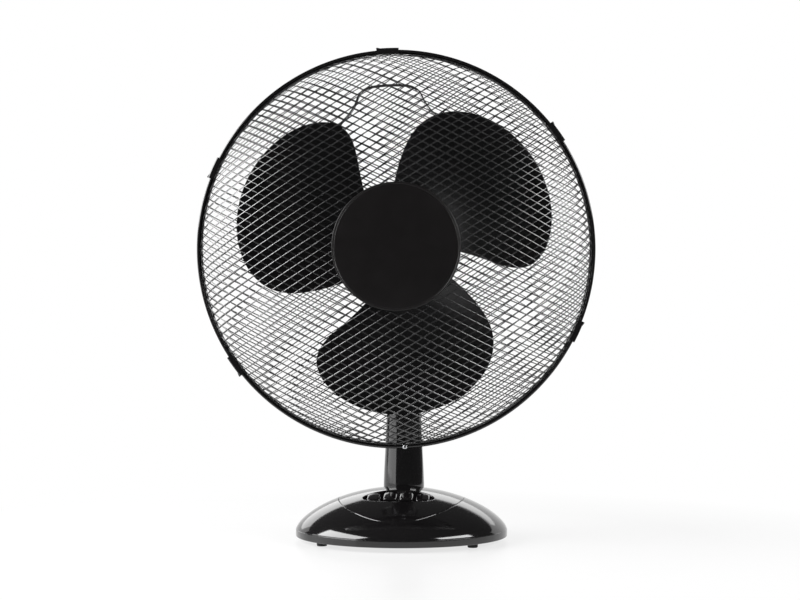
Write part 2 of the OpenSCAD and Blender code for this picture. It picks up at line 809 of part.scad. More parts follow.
module motor_cover() color(gloss_black) difference() {
    fan_axis() difference() {
        cover_form(cover_r, cover_end, cover_front);
        cover_form(cover_r - cover_t, cover_end + cover_t, cover_front + 1);
        translate([0, 0, cover_end - 1]) cylinder(r = 2, h = 5);
        // Cooling slots round the rear
        for (k = [0 : 11]) rotate(30 * k + 15) translate([26, -1.5, cover_end - 5]) cube([16, 3, 40]);
    }
    head_frame() {
        // Open underside for the swing bracket and link
        block([-30, -cover_front + 3, -cover_r - 5], [36, 86, box_floor + 2]);
        translate([spindle_x, -spindle_u, 20]) cylinder(r = 4.6, h = 60);
    }
}

module cover_screw() color(steel) fan_axis() {
    translate([0, 0, cover_end]) rotate([180, 0, 0]) screw(1.45, 12, 3.4, 1.8);
}

// ---- guards ----

ring_wall = 3;
ring_w = 6;
flange_t = 1.4;
ring_depth = 5.4;
half_gap = 0.1;
hoop_w = strand + 0.2;
hoop_lift = flange_t + gap + hoop_w / 2;
mesh_edge = guard_r - ring_wall - gap - hoop_w / 2;
dome_end = 84;
rim_sides = 64;
hole_sides = 36;
rear_hole_r = 44;
rear_depth = (guard_u - hoop_lift - hub_plate_z - hub_plate_t - gap - hoop_w / 2) / dome_share(rear_hole_r);
lug_t = 2.5;
clip_angles = [0, 56.5, 117, 236.5, 296.5];
clip_pivot_r = guard_r - 2.4;
clip_pivot_z = guard_u - ring_depth - 3.2;
clip_pin_r = 1.2;
knuckle = 2.3;
knuckle_w = 14;
screw_at = guard_r - 1.6;

// L-shaped ring section: a flange at the joint and an outer wall
function ring_section(side) = [
    for (p = [[guard_r - ring_w, half_gap], [guard_r - 0.8, half_gap], [guard_r, half_gap + 0.8],
              [guard_r, ring_depth - 1.2], [guard_r - 1.2, ring_depth], [guard_r - ring_wall, ring_depth],
              [guard_r - ring_wall, flange_t], [guard_r - ring_w, flange_t]])
    [p[0], guard_u + side * p[1]]
];
module ring_body(side) rotate_extrude($fn = 180) polygon(ring_section(side));

// Boss for the safety screw, at the bottom of a ring
module screw_boss(low, high) rotate(-90) translate([guard_r - 1.5, 0, low]) intersection() {
    cylinder(r = 3.4, h = high - low);
    block([-1.3, -4, -1], [4, 4, high]);
}
module screw_bore(r) rotate(-90) translate([screw_at, 0, guard_u - 20]) cylinder(r = r, h = 40);

module front_guard_ring() color(gloss_black) guard_frame() difference() {
    union() {
        ring_body(1);
        screw_boss(guard_u + half_gap, guard_u + ring_depth);
    }
    screw_bore(1.3 + snug);
}

// Ear that carries a clip pin, in the plane of the radius
module clip_lug() {
    rotate([-90, 0, 0]) difference() {
        union() {
            translate([clip_pivot_r, -clip_pivot_z, 0]) cylinder(r = knuckle, h = lug_t);
            translate([clip_pivot_r - knuckle, -guard_u + ring_depth - 0.5, 0])
                cube([2 * knuckle, guard_u - ring_depth - clip_pivot_z + 0.5, lug_t]);
        }
        translate([clip_pivot_r, -clip_pivot_z, -1]) cylinder(r = clip_pin_r + run, h = lug_t + 2);
    }
}

module rear_guard_ring() color(gloss_black) guard_frame() {
    difference() {
        union() {
            ring_body(-1);
            screw_boss(guard_u - ring_depth, guard_u - half_gap);
        }
        screw_bore(1.3 + snug);
    }
    for (a = clip_angles) rotate(90 - a) {
        translate([0, knuckle_w / 2 + gap, 0]) clip_lug();
        translate([0, -knuckle_w / 2 - gap - lug_t, 0]) clip_lug();
    }
}

// Spring clip: arm over both rings, hook on the front ring, lever lip at one end
module guard_clip(k) color(gloss_black) guard_frame() rotate(90 - clip_angles[k]) {
    span = 6.4;
    arm_in = guard_r + gap;
    arm_out = arm_in + 1.4;
    hook_z = guard_u + ring_depth + gap;
    rotate(-span / 2) rotate_extrude(angle = span, $fn = 180) polygon([
        [arm_in, clip_pivot_z + 1], [arm_out, clip_pivot_z + 1], [arm_out, hook_z + 1],
        [arm_out - 1, hook_z + 1.8], [guard_r - 5, hook_z + 1.8], [guard_r - 5, hook_z], [arm_in, hook_z]
    ]);
    translate([clip_pivot_r, 0, clip_pivot_z]) rotate([-90, 0, 0]) {
        cylinder(r = knuckle, h = knuckle_w, center = true);
        cylinder(r = clip_pin_r, h = knuckle_w + 2 * lug_t + 2 * gap, center = true);
        translate([0, -2.6, -knuckle_w / 2]) cube([arm_out - clip_pivot_r - 0.4, 3.6, knuckle_w]);
    }
    // Lever lip, at the counter-clockwise end
    rotate(span / 2) translate([arm_out - 0.3, -5, guard_u - 3]) rotate([90, 0, 90]) linear_extrude(1.7)
        polygon([[0, 0], [5, 0], [5, 7], [0, 7]]);
}

module safety_screw() color(steel) guard_frame() rotate(-90) translate([screw_at, 0, 0]) {
    translate([0, 0, guard_u + ring_depth]) {
        cylinder(r = 2.5, h = 1.3);
        translate([0, 0, -2 * ring_depth - 3]) cylinder(r = 1.3, h = 2 * ring_depth + 3.1);
    }
    translate([0, 0, guard_u - ring_depth - 2]) cylinder(r = 2.6, h = 2, $fn = 6);
}

// Point of the mesh dome for a point of the flat sheet that it is pressed from
function mesh_dome(a, depth) = [
    mesh_edge * sin(a) / sin(dome_end),
    depth * (cos(a) - cos(dome_end)) / (1 - cos(dome_end))
];
// Height of the dome over its edge at one radius, as a share of its depth
function dome_share(r) = mesh_dome(asin(r * sin(dome_end) / mesh_edge), 1)[1];
function arc_to(k, depth) =
    k == 0 ? 0 : arc_to(k - 1, depth) + norm(mesh_dome(5 * k, depth) - mesh_dome(5 * k - 5, depth));
function arc_table(depth) = [for (k = [0 : 17]) [arc_to(k, depth), 5 * k]];
function press(p, depth, table, edge, side, lift) = let (
    d = mesh_dome(lookup(min(norm(p), edge), table), depth)
) concat(norm(p) > 0 ? p * d[0] / norm(p) : p, guard_u + side * (hoop_lift + d[1]) + lift);

// Diamond mesh pressed into a dome, trimmed between two radii and edged with a hoop at each
module mesh_dome_net(side, depth, hole_r) {
    table = arc_table(depth);
    half_l = mesh_long / 2;
    half_s = mesh_short / 2;
    // The sheet's edge, a little past the hoop that the strands end in
    edge = lookup(dome_end, [for (t = table) [t[1], t[0]]]) + 2;
    reach = edge + mesh_short * 0.6;
    ni = floor(reach / half_l) + 1;
    nj = floor(reach / half_s) + 1;
    inner = hole_r - half_l * 0.9;
    cross_l = strand * 0.9;
    cross_s = strand * 0.6;
    function keep(i, j) = let (r = norm([i * half_l, j * half_s])) (i + j) % 2 == 0 && r < reach && r > inner;
    function slot(i, j) = 8 * ((i + ni + 1) * (2 * nj + 3) + j + nj + 1);
    corners = [[cross_l, 0], [0, cross_s], [-cross_l, 0], [0, -cross_s]];
    points = [
        for (i = [-ni - 1 : ni + 1]) for (j = [-nj - 1 : nj + 1])
        for (lift = [strand / 2, -strand / 2]) for (c = corners)
        press([i * half_l, j * half_s] + c, depth, table, edge, side, lift)
    ];
    // Two triangles of a four-sided face
    function quad(a, b, c, d) = [[a, c, b], [a, d, c]];
    nodes = [for (i = [-ni - 1 : ni + 1]) for (j = [-nj - 1 : nj + 1]) if (keep(i, j)) [i, j]];
    plates = [
        for (n = nodes) let (s = slot(n[0], n[1]))
        each concat(quad(s, s + 1, s + 2, s + 3), quad(s + 7, s + 6, s + 5, s + 4))
    ];
    // The four strand directions: step, own two corners, far two corners
    ways = [[1, 1, 0, 1], [-1, 1, 1, 2], [-1, -1, 2, 3], [1, -1, 3, 0]];
    walls = [
        for (n = nodes) let (s = slot(n[0], n[1])) for (w = ways)
        if (!keep(n[0] + w[0], n[1] + w[1])) each quad(s + w[2], s + 4 + w[2], s + 4 + w[3], s + w[3])
    ];
    bars = [
        for (n = nodes) let (s = slot(n[0], n[1])) for (w = [ways[0], ways[1]])
        if (keep(n[0] + w[0], n[1] + w[1])) let (
            t = slot(n[0] + w[0], n[1] + w[1]),
            a = s + w[2], b = s + w[3],
            c = t + (w[2] + 3) % 4, d = t + (w[3] + 1) % 4
        ) each concat(quad(a, c, d, b), quad(b + 4, d + 4, c + 4, a + 4),
                      quad(a, a + 4, c + 4, c), quad(d, d + 4, b + 4, b))
    ];
    intersection() {
        polyhedron(points, concat(plates, walls, bars));
        difference() {
            translate([0, 0, guard_u - 120]) cylinder(r = mesh_edge, h = 240, $fn = rim_sides);
            translate([0, 0, guard_u - 121]) cylinder(r = hole_r, h = 242, $fn = hole_sides);
        }
    }
    hoop(mesh_edge, guard_u + side * hoop_lift, rim_sides);
    hoop(hole_r, guard_u + side * (hoop_lift + depth * dome_share(hole_r)), hole_sides);
}

// Wire hoop made of short straight lengths that share their end posts
module hoop(r, z, sides) {
    for (k = [0 : sides - 1]) hull()
        around([360 * k / sides, 360 * (k + 1) / sides], r)
            translate([0, 0, z]) cylinder(r = hoop_w / 2, h = hoop_w, center = true, $fn = 4);
}

retainer_r = 60;
hub_plate_r = 46;
guard_nut_r = 34;
guard_nut_t = 8;
grip_r = 3;

module front_guard_mesh() color(satin_black) guard_frame() mesh_dome_net(1, front_depth, retainer_r);
module rear_guard_mesh() color(satin_black) guard_frame() mesh_dome_net(-1, rear_depth, rear_hole_r);

module rear_guard_hub() color(satin_black) fan_axis() {
    ring(hub_plate_r, neck_r + gap, hub_plate_z, hub_plate_z + hub_plate_t);
}

module guard_nut() color(satin_black) fan_axis() {
    difference() {
        ring(guard_nut_r, neck_r + snug, hub_plate_z + hub_plate_t, hub_plate_z + hub_plate_t + guard_nut_t);
        for (k = [0 : 11]) rotate(30 * k) translate([guard_nut_r + grip_r / 2, 0, hub_plate_z])
            cylinder(r = grip_r, h = hub_plate_t + guard_nut_t + eps);
    }
}

// Badge that covers the middle of the front mesh
badge_edge = guard_u + hoop_lift + front_depth * dome_share(badge_r) + strand / 2 + 0.5;
retainer_top = guard_u + hoop_lift + front_depth * dome_share(retainer_r) - hoop_w / 2 - gap;
retainer_t = 2;

module badge() color(satin_black) guard_frame() {
    crown = 4.6;
    face = [
        for (i = [1 : 8]) let (r = (badge_r - 1.2) * (1 - i / 8))
        [r, 2.2 + crown * (1 - pow(r / badge_r, 2)) * 0.6]
    ];
    translate([0, 0, badge_edge]) rotate_extrude($fn = fine) polygon(concat(
        [[0, crown - 2.4], [retainer_r - 8, crown - 3.6], [badge_r - 3, 0.6], [badge_r - 2, 0],
         [badge_r - 0.4, 0], [badge_r, 0.5], [badge_r, 1.2], [badge_r - 0.6, 2]],
        face
    ));
    // Posts that hold the retainer
    around([30, 150, 270], 30) translate([0, 0, retainer_top])
        cylinder(r = 3.5, h = badge_edge + crown - 2 - retainer_top);
}

module badge_retainer() color(satin_black) guard_frame() difference() {
    translate([0, 0, retainer_top - retainer_t]) cylinder(r = retainer_r + 2, h = retainer_t, $fn = fine);
    translate([0, 0, retainer_top - 2 * retainer_t]) cylinder(r = 16, h = 3 * retainer_t);
    around([0 : 60 : 300], 45) translate([0, 0, retainer_top - 2 * retainer_t])
        cylinder(r = 6, h = 3 * retainer_t);
}

// ---- carry handle: a bent wire behind the top of the rear guard ----

handle_top = guard_r - 27;
handle_back = 28;
// Half of the wire's path from its foot up, as [side, drop below the top, distance behind the mesh]
handle_half = [[58, 50, 0], [55, 44, 1], [46, 34, 7], [39, 23, 14], [35, 13, 20], [30, 6, 24], [20, 1.5, 27]];
function handle_side(order, side) = [
    for (k = order) let (p = handle_half[k]) [side * p[0], handle_top - p[1], p[2]]
];
handle_path = concat(
    handle_side([0 : len(handle_half) - 1], -1),
    [[0, handle_top, handle_back]],
    handle_side([len(handle_half) - 1 : -1 : 0], 1)
);
handle_sides = 8;
handle_cuts = 3;
handle_foot = [handle_half[0][0], handle_top - handle_half[0][1]];
foot_angle_on_dome = asin(norm(handle_foot) * sin(dome_end) / mesh_edge);
rear_surface_u = guard_u - hoop_lift - rear_depth * dome_share(norm(handle_foot));
rear_slope = atan(tan(foot_angle_on_dome) * rear_depth / mesh_edge * sin(dome_end) / (1 - cos(dome_end)));

function unit(v) = v / norm(v);

// Smooth curve through the handle's points
function spline(p0, p1, p2, p3, t) = 0.5 * (2 * p1 + (p2 - p0) * t + (2 * p0 - 5 * p1 + 4 * p2 - p3) * t * t
    + (3 * p1 - p0 - 3 * p2 + p3) * t * t * t);
function handle_points() = let (n = len(handle_path)) concat([
    for (i = [0 : n - 2]) let (last = max(0, i - 1), after = min(n - 1, i + 2)) for (s = [0 : handle_cuts - 1])
    spline(handle_path[last], handle_path[i], handle_path[i + 1], handle_path[after], s / handle_cuts)
], [handle_path[n - 1]]);

module carry_handle() color(satin_black) guard_frame() {
    path = [for (p = handle_points()) [p[0], p[1], rear_surface_u - strand / 2 - gap - handle_wire / 2 - p[2]]];
    n = len(path);
    points = [
        for (i = [0 : n - 1]) let (
            along = unit(path[min(n - 1, i + 1)] - path[max(0, i - 1)]),
            side = unit(cross(along, [0, 0, 1])),
            up = cross(along, side)
        ) for (j = [0 : handle_sides - 1]) let (a = 360 * j / handle_sides)
        path[i] + handle_wire / 2 * (cos(a) * side + sin(a) * up)
    ];
    sides = [
        for (i = [0 : n - 2]) for (j = [0 : handle_sides - 1]) let (
            a = i * handle_sides + j, b = i * handle_sides + (j + 1) % handle_sides
        ) each [[a, a + handle_sides, b], [b, a + handle_sides, b + handle_sides]]
    ];
    ends = [
        [for (j = [0 : handle_sides - 1]) j],
        [for (j = [handle_sides - 1 : -1 : 0]) (n - 1) * handle_sides + j]
    ];
    polyhedron(points, concat(sides, ends));
    // Flattened ends that are welded across the strands of the mesh
    for (side = [-1, 1]) translate([side * handle_foot[0], handle_foot[1], rear_surface_u])
        rotate(atan2(handle_foot[1], side * handle_foot[0])) rotate([0, -rear_slope, 0])
            block([-9, -handle_wire / 2, -strand / 2 - gap - 1.4], [9, handle_wire / 2, -strand / 2 - gap]);
}

// ---- blades ----

root_r = hub_r - 1;
lobe_r = 70;
lobe_power = 4.3;
blade_rows = 10;
blade_columns = 10;
blade_t = 2.6;
belly = 4;
function blade_x(r) = (r - lobe_r) / (tip_r - lobe_r);
function blade_width(r) = blade_half * sqrt(1 - pow(max(0, min(0.9995, blade_x(r))), lobe_power));
function blade_sweep(r) = 4.5 - 13 * pow(max(0, 1 - blade_x(r)), 1.5);
function blade_point(r, t, lift) = let (
    a = 90 - blade_sweep(r) - blade_width(r) * t,
    rake = blade_rake * blade_width(r) / blade_half,
    skin = 0.3 + 0.7 * sqrt(1 - t * t * 0.96)
) [r * cos(a), r * sin(a), blade_u - rake * t - belly * (1 - t * t) * blade_width(r) / blade_half + lift * skin];

module blade() {
    columns = blade_columns + 1;
    points = [
        for (lift = [blade_t / 2, -blade_t / 2])
        for (i = [0 : blade_rows]) let (r = root_r + (tip_r - root_r) * sin(90 * i / blade_rows))
        for (j = [0 : blade_columns]) blade_point(r, 2 * j / blade_columns - 1, lift)
    ];
    back = (blade_rows + 1) * columns;
    function pair(a, b, c, d) = [[a, c, b], [a, d, c]];
    faces = [
        for (i = [0 : blade_rows - 1]) for (j = [0 : blade_columns - 1]) let (a = i * columns + j)
        each concat(pair(a, a + 1, a + columns + 1, a + columns),
                    pair(back + a, back + a + columns, back + a + columns + 1, back + a + 1))
    ];
    rims = [
        for (j = [0 : blade_columns - 1]) let (top = blade_rows * columns + j)
        each concat(pair(j, back + j, back + j + 1, j + 1), pair(top, top + 1, back + top + 1, back + top)),
        for (i = [0 : blade_rows - 1]) let (a = i * columns, b = a + blade_columns)
        each concat(pair(a, a + columns, back + a + columns, back + a),
                    pair(b, back + b, back + b + columns, b + columns))
    ];
    polyhedron(points, concat(faces, rims));
}

module impeller() color(gloss_black) fan_axis() {
    difference() {
        union() {
            for (k = [0 : blade_count - 1]) rotate(-blade_start - 360 * k / blade_count) blade();
            difference() {
                translate([0, 0, hub_back]) cylinder(r = hub_r, h = hub_front - hub_back);
                translate([0, 0, hub_back - 1]) cylinder(r = hub_r - 2.4, h = hub_front - hub_back - 1.4);
            }
            translate([0, 0, hub_back + 4]) cylinder(r = 9, h = hub_front - hub_back - 4);
        }
        translate([0, 0, hub_back - 10]) cylinder(r = shaft_r + snug, h = 80);
    }
}

module spinner_nut() color(gloss_black) fan_axis() difference() {
    translate([0, 0, hub_front]) rotate_extrude()
        polygon([[0, 0], [spinner_r - 0.5, 0], [spinner_r, 1.5], [spinner_r - 2, 6], [spinner_r - 6.5, 11],
                 [shaft_r, nut_l - 0.6], [0, nut_l]]);
    translate([0, 0, hub_front - 1]) cylinder(r = shaft_r + snug, h = nut_l - 2 + snug);
}

base_cover();
control_panel();
base_plate();
counterweight();
rubber_feet();
base_screws();
panel_screws();
cord_bush();
run_capacitor();
switch_body();
speed_key(0);  // key_0
speed_key(1);  // key_1
speed_key(2);  // key_2
speed_key(3);  // key_3
column();
column_nut();
tilt_bracket();
tilt_bolt();
tilt_nut();
thrust_washer();
swing_link();
swing_pin();
swing_block();
front_bell();
rear_bell();
stator_core();
windings();
motor_bushes();
through_bolts();
rotor();
motor_shaft();
worm();
gearbox_housing();
gearbox_cover();
worm_wheel();
gear_spindle();
crank_gear();
swing_knob();
motor_collar();
motor_cover();
cover_screw();
rear_guard_ring();
rear_guard_mesh();
rear_guard_hub();
guard_nut();
carry_handle();
front_guard_ring();
front_guard_mesh();
badge();
badge_retainer();
guard_clip(0);  // guard_clip_1
guard_clip(1);  // guard_clip_2
guard_clip(2);  // guard_clip_3
guard_clip(3);  // guard_clip_4
guard_clip(4);  // guard_clip_5
safety_screw();
impeller();
spinner_nut();
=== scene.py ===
# %% [markdown]
# # Dressing a desk fan
# The frame holds the fan's solids in metres, each on the body it moves with. This lesson gives every
# visible piece its finished surface: smooth mouldings, a guard of fine mesh and glossy black plastic.
# Sizes below are in millimetres, as on a workshop drawing, and turn into metres when a mesh is made.

import json
import math

import bmesh
import bpy
import numpy as np
from mathutils import Matrix, Vector


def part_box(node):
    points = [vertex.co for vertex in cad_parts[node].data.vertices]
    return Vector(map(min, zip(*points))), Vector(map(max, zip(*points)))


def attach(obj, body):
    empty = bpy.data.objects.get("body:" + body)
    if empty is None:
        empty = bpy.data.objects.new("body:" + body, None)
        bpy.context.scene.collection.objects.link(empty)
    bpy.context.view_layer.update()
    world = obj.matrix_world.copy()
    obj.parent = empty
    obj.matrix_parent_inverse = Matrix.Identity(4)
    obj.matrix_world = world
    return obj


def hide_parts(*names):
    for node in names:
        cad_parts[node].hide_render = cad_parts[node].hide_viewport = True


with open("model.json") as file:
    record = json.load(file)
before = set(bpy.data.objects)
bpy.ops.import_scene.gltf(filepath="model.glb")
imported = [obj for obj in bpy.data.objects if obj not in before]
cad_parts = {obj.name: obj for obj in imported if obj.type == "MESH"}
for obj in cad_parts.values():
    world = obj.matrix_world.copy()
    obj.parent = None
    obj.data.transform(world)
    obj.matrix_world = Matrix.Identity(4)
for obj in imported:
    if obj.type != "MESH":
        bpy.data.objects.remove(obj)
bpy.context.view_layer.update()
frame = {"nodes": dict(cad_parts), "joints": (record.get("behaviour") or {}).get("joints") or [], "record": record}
joints = {j["name"]: j for j in frame["joints"]}
scene = bpy.context.scene

# %% [markdown]
# ## Places on the fan
# The base stands straight, but the head is turned a little on its pin and the guard is turned a little
# about the shaft. A matrix for each keeps that in one place: every round piece is made about its own z
# axis and then put where it belongs.

# %% Frames of the base, the fan axis and the guard
MM = 0.001
UP = Vector((0, 0, 1))
GUARD_TURN = 2.5
shift = Matrix.Translation


def about_z(angle):
    return Matrix.Rotation(math.radians(angle), 4, "Z")


shaft_at = Vector(joints["spin"]["pos_m"])
forward = Vector(joints["spin"]["axis"]).normalized()
across = UP.cross(forward)
BASE = Matrix.Identity(4)
FAN = shift(shaft_at) @ Matrix((across, UP, forward)).transposed().to_4x4()
GUARD = FAN @ about_z(GUARD_TURN)
print("shaft at", shaft_at, "facing", forward)

# %% [markdown]
# ## The camera
# A product like this is shot from a few steps away with a long lens, level with the middle of the
# fan, so that upright lines stay upright. The lens shift moves the view up or down without a tilt.

# %% Camera
def in_scene(name, data):
    """A new object that holds the data."""
    obj = bpy.data.objects.new(name, data)
    scene.collection.objects.link(obj)
    return obj


camera = in_scene("camera", bpy.data.cameras.new("camera"))
camera.data.sensor_width = 36
camera.data.lens = 76.2
camera.data.shift_y = 0.03625
camera.data.clip_end = 30
camera.location = (0.1503, -1.889, 0.2358)
camera.rotation_euler = (math.radians(90), 0, math.radians(4.6))
scene.camera = camera
print("lens", camera.data.lens, "mm, shift", round(camera.data.shift_y, 4))

# %% [markdown]
# ## Arithmetic on sockets
# Shader and geometry trees do sums with Math nodes. Written out, each sum takes three lines, so this
# small class wraps a socket and lets Python's own operators add the nodes. The `node` method makes any
# other node: its settings are set first, and then its inputs, which are numbers or other sockets.

# %% A graph that is written as expressions
class Wire:
    def __init__(self, graph, socket):
        self.graph, self.socket = graph, socket

    def math(self, operation, *others):
        values = dict(enumerate((self,) + others))
        return self.graph.node("ShaderNodeMath", {"operation": operation}, values)[0]

    def __add__(self, other): return self.math("ADD", other)
    def __mul__(self, other): return self.math("MULTIPLY", other)
    def __sub__(self, other): return self.math("SUBTRACT", other)
    def __truediv__(self, other): return self.math("DIVIDE", other)
    def __rsub__(self, other): return self.graph.number(other).math("SUBTRACT", self)
    def __pow__(self, other): return self.math("POWER", other)
    __radd__, __rmul__ = __add__, __mul__

    def clamp(self, low, high): return self.math("MAXIMUM", low).math("MINIMUM", high)


class Made:
    def __init__(self, graph, node):
        self.graph, self.node = graph, node

    def __getitem__(self, output):
        return Wire(self.graph, self.node.outputs[output])


class Graph:
    def __init__(self, tree):
        self.tree = tree

    def node(self, kind, settings=None, inputs=None):
        node = self.tree.nodes.new(kind)
        for name, value in (settings or {}).items():
            setattr(node, name, value)
        for name, value in (inputs or {}).items():
            if isinstance(value, Wire):
                self.tree.links.new(value.socket, node.inputs[name])
            else:
                node.inputs[name].default_value = value
        return Made(self, node)

    def number(self, value):
        return self.node("ShaderNodeMath", {"operation": "ADD"}, {0: value, 1: 0.0})[0]


def fresh_graph(owner):
    """An empty shader tree on a material or a world."""
    owner.use_nodes = True
    owner.node_tree.nodes.clear()
    return Graph(owner.node_tree)


print("a socket now takes + - * / and **")

# %% [markdown]
# ## Finishes
# Nearly everything in view is black, so the finishes differ in how they shine. One recipe serves them
# all: a slow noise lets colour and roughness drift in patches, and a fine one gives the grain. Both
# read Object coordinates, so the grain keeps its real size on every piece.

# %% Recipe for a finish
def finish(name, colour, metallic=0.0, roughness=0.4, spread=0.1, patch=40, grain=600, depth=0.0001,
           strength=0.2, tint=0.15, ior=1.5):
    material = bpy.data.materials.new(name)
    graph = fresh_graph(material)
    place = graph.node("ShaderNodeTexCoord")["Object"]
    drift = graph.node("ShaderNodeTexNoise", {}, {"Vector": place, "Scale": patch, "Detail": 3.0})["Fac"]
    fine = graph.node("ShaderNodeTexNoise", {}, {"Vector": place, "Scale": grain, "Detail": 2.0})["Fac"]
    dark = [c * (1 - tint) for c in colour] + [1]
    light = [min(1, c * (1 + tint)) for c in colour] + [1]
    shade = graph.node("ShaderNodeMix", {"data_type": "RGBA"}, {0: drift, 6: dark, 7: light})[2]
    bump = graph.node("ShaderNodeBump", {}, {"Height": fine, "Strength": strength, "Distance": depth})
    shader = graph.node("ShaderNodeBsdfPrincipled", {}, {
        "Base Color": shade, "Metallic": metallic, "Normal": bump["Normal"], "IOR": ior,
        "Roughness": (roughness + (drift - 0.5) * spread * 2).clamp(0.02, 1.0),
    })
    graph.node("ShaderNodeOutputMaterial", {}, {"Surface": shader["BSDF"]})
    return material


print("patches of", 1000 / 40, "mm unless a finish says otherwise")

# %% [markdown]
# ## One finish for each kind of material
# Injection-moulded plastic has a mirror-like skin with a very slight waviness. The badge is
# spark-eroded satin, the wires are dipped paint, and the screws are bright metal. The blacks differ
# little, so roughness does most of the work.

# %% The finishes
gloss = finish("gloss black plastic", (0.0045, 0.0041, 0.0044), roughness=0.09, spread=0.03, patch=35,
               grain=160, depth=0.0004, strength=0.03, ior=1.6)
blade_gloss = finish("blade plastic", (0.0025, 0.0024, 0.0026), roughness=0.2, spread=0.05, patch=30,
                     grain=220, depth=0.0003, strength=0.05)
satin = finish("satin black plastic", (0.0052, 0.0044, 0.0046), roughness=0.34, spread=0.05, patch=60,
               grain=1800, ior=1.38)
wire_paint = finish("black dipped paint", (0.01, 0.01, 0.0105), roughness=0.2, spread=0.04, patch=90,
                    grain=500, strength=0.1, ior=2.0)
steel = finish("bright steel", (0.62, 0.63, 0.65), metallic=1.0, roughness=0.28, patch=120, grain=900)
chrome = finish("polished screw", (0.82, 0.83, 0.85), metallic=1.0, roughness=0.12, spread=0.04, patch=200,
                grain=900, strength=0.05)
cast = finish("cast zinc", (0.5, 0.5, 0.52), metallic=1.0, roughness=0.5, spread=0.12, patch=80, grain=400,
              strength=0.4)
iron = finish("cast iron", (0.08, 0.08, 0.085), metallic=0.8, roughness=0.6, grain=350, strength=0.5)
copper = finish("enamelled copper", (0.55, 0.22, 0.1), metallic=1.0, roughness=0.3, grain=800)
bronze = finish("sintered bronze", (0.45, 0.3, 0.14), metallic=1.0, roughness=0.45, grain=1200)
nylon = finish("natural nylon", (0.72, 0.7, 0.62), grain=500, tint=0.04)
rubber = finish("black rubber", (0.02, 0.02, 0.02), roughness=0.75, grain=900, strength=0.3)
print(len(bpy.data.materials), "finishes")

# %% [markdown]
# ## Finishes for the pieces that stay as they are
# Pieces inside the base and the head, and simple turned or stamped ones, already have their true
# shape. They only take the finish of their material slot.

# %% Give each CAD node the finish of its slot
by_slot = {"gloss_plastic": gloss, "satin_plastic": satin, "painted_wire": wire_paint, "steel": steel,
           "zinc": cast, "iron": iron, "copper": copper, "bronze": bronze, "nylon": nylon, "rubber": rubber}
node_slot = {s["node"]: s["material_slot"] for s in frame["record"]["subparts"]}
for name, obj in frame["nodes"].items():
    obj.data.materials.clear()
    obj.data.materials.append(by_slot[node_slot[name]])
node_body = {n: b for b, ns in frame["record"]["behaviour"]["bodies"].items() for n in ns}
print(len(node_slot), "nodes finished")

# %% [markdown]
# ## Making outlines
# A moulded edge is never sharp, so outlines are written as corners with a radius each. An arc between
# two edges is a blend of the two spokes from its centre, which needs no angles of its own.

# %% Outline with rounded corners
def rounded(corners, closed=True, steps=5):
    """Corners are (x, y, radius). Returns plain (x, y) points with each corner drawn as an arc."""
    points, count = [], len(corners)
    for i, (x, y, radius) in enumerate(corners):
        here = Vector((x, y))
        if radius <= 0 or (not closed and i in (0, count - 1)):
            points.append((x, y))
            continue
        to_last = Vector(corners[i - 1][:2]) - here
        to_next = Vector(corners[(i + 1) % count][:2]) - here
        half = to_last.angle(to_next) / 2
        reach = min(radius / math.tan(half), to_last.length * 0.49, to_next.length * 0.49)
        radius = reach * math.tan(half)
        to_last.normalize()
        to_next.normalize()
        centre = here + (to_last + to_next).normalized() * radius / math.sin(half)
        start, end = here + to_last * reach - centre, here + to_next * reach - centre
        turn = math.pi - 2 * half
        for s in range(steps + 1):
            t = s / steps
            mix = (start * math.sin((1 - t) * turn) + end * math.sin(t * turn)) / math.sin(turn)
            points.append(tuple(centre + mix))
    return points


def arc(radius, angles, x=0.0, y=0.0):
    """Points about (x, y) at the angles, in radians."""
    return [(x + radius * math.cos(a), y + radius * math.sin(a)) for a in angles]


def evenly(count):
    """Angles that share out a full turn."""
    return np.linspace(0, 2 * math.pi, count + 1)[:-1]


def degrees(first, last, step):
    return [math.radians(a) for a in range(first, last + 1, step)]


print("a square with round corners has", len(rounded([(0, 0, 1), (9, 0, 1), (9, 9, 1), (0, 9, 1)])), "points")

# %% [markdown]
# ## Making solids
# Most of the fan is turned or moulded, so a few helpers make nearly all of it: `lathe` turns an outline
# about z, `stacked` skins a pile of slices, and `prism` is such a pile of two. Each gives plain points
# and faces, so that several can be joined before one mesh is made.

# %% Turned and extruded solids
def lathe(profile, steps=96, closed=True):
    """Turn a profile of (radius, height) about z."""
    points, faces, rows = [], [], []
    for radius, height in profile:
        start = len(points)
        if radius < 1e-6:
            points.append((0, 0, height))
            rows.append([start] * steps)
        else:
            turn = [2 * math.pi * k / steps for k in range(steps)]
            points += [(radius * math.cos(a), radius * math.sin(a), height) for a in turn]
            rows.append(list(range(start, start + steps)))
    for low, high in zip(rows, rows[1:] + (rows[:1] if closed else [])):
        for k in range(steps):
            around = (k + 1) % steps
            corner = list(dict.fromkeys([low[k], low[around], high[around], high[k]]))
            if len(corner) > 2:
                faces.append(corner)
    return points, faces


def turned(corners, steps, arc_steps=5):
    return lathe(rounded(corners, closed=False, steps=arc_steps), steps, closed=False)


def rod(radius, low, high, steps):
    return lathe([(0, low), (radius, low), (radius, high), (0, high)], steps, closed=False)


def rows_to_faces(rows):
    """Points and faces of closed rows that each hold the same number of points."""
    n = len(rows[0])
    points = [p for row in rows for p in row]
    faces = [[i * n + k, i * n + (k + 1) % n, (i + 1) * n + (k + 1) % n, (i + 1) * n + k]
             for i in range(len(rows) - 1) for k in range(n)]
    return points, faces


def stacked(rows):
    """A solid from rows, closed at both ends."""
    points, faces = rows_to_faces(rows)
    n = len(rows[0])
    return points, faces + [list(range(n))[::-1], list(range(len(points) - n, len(points)))]


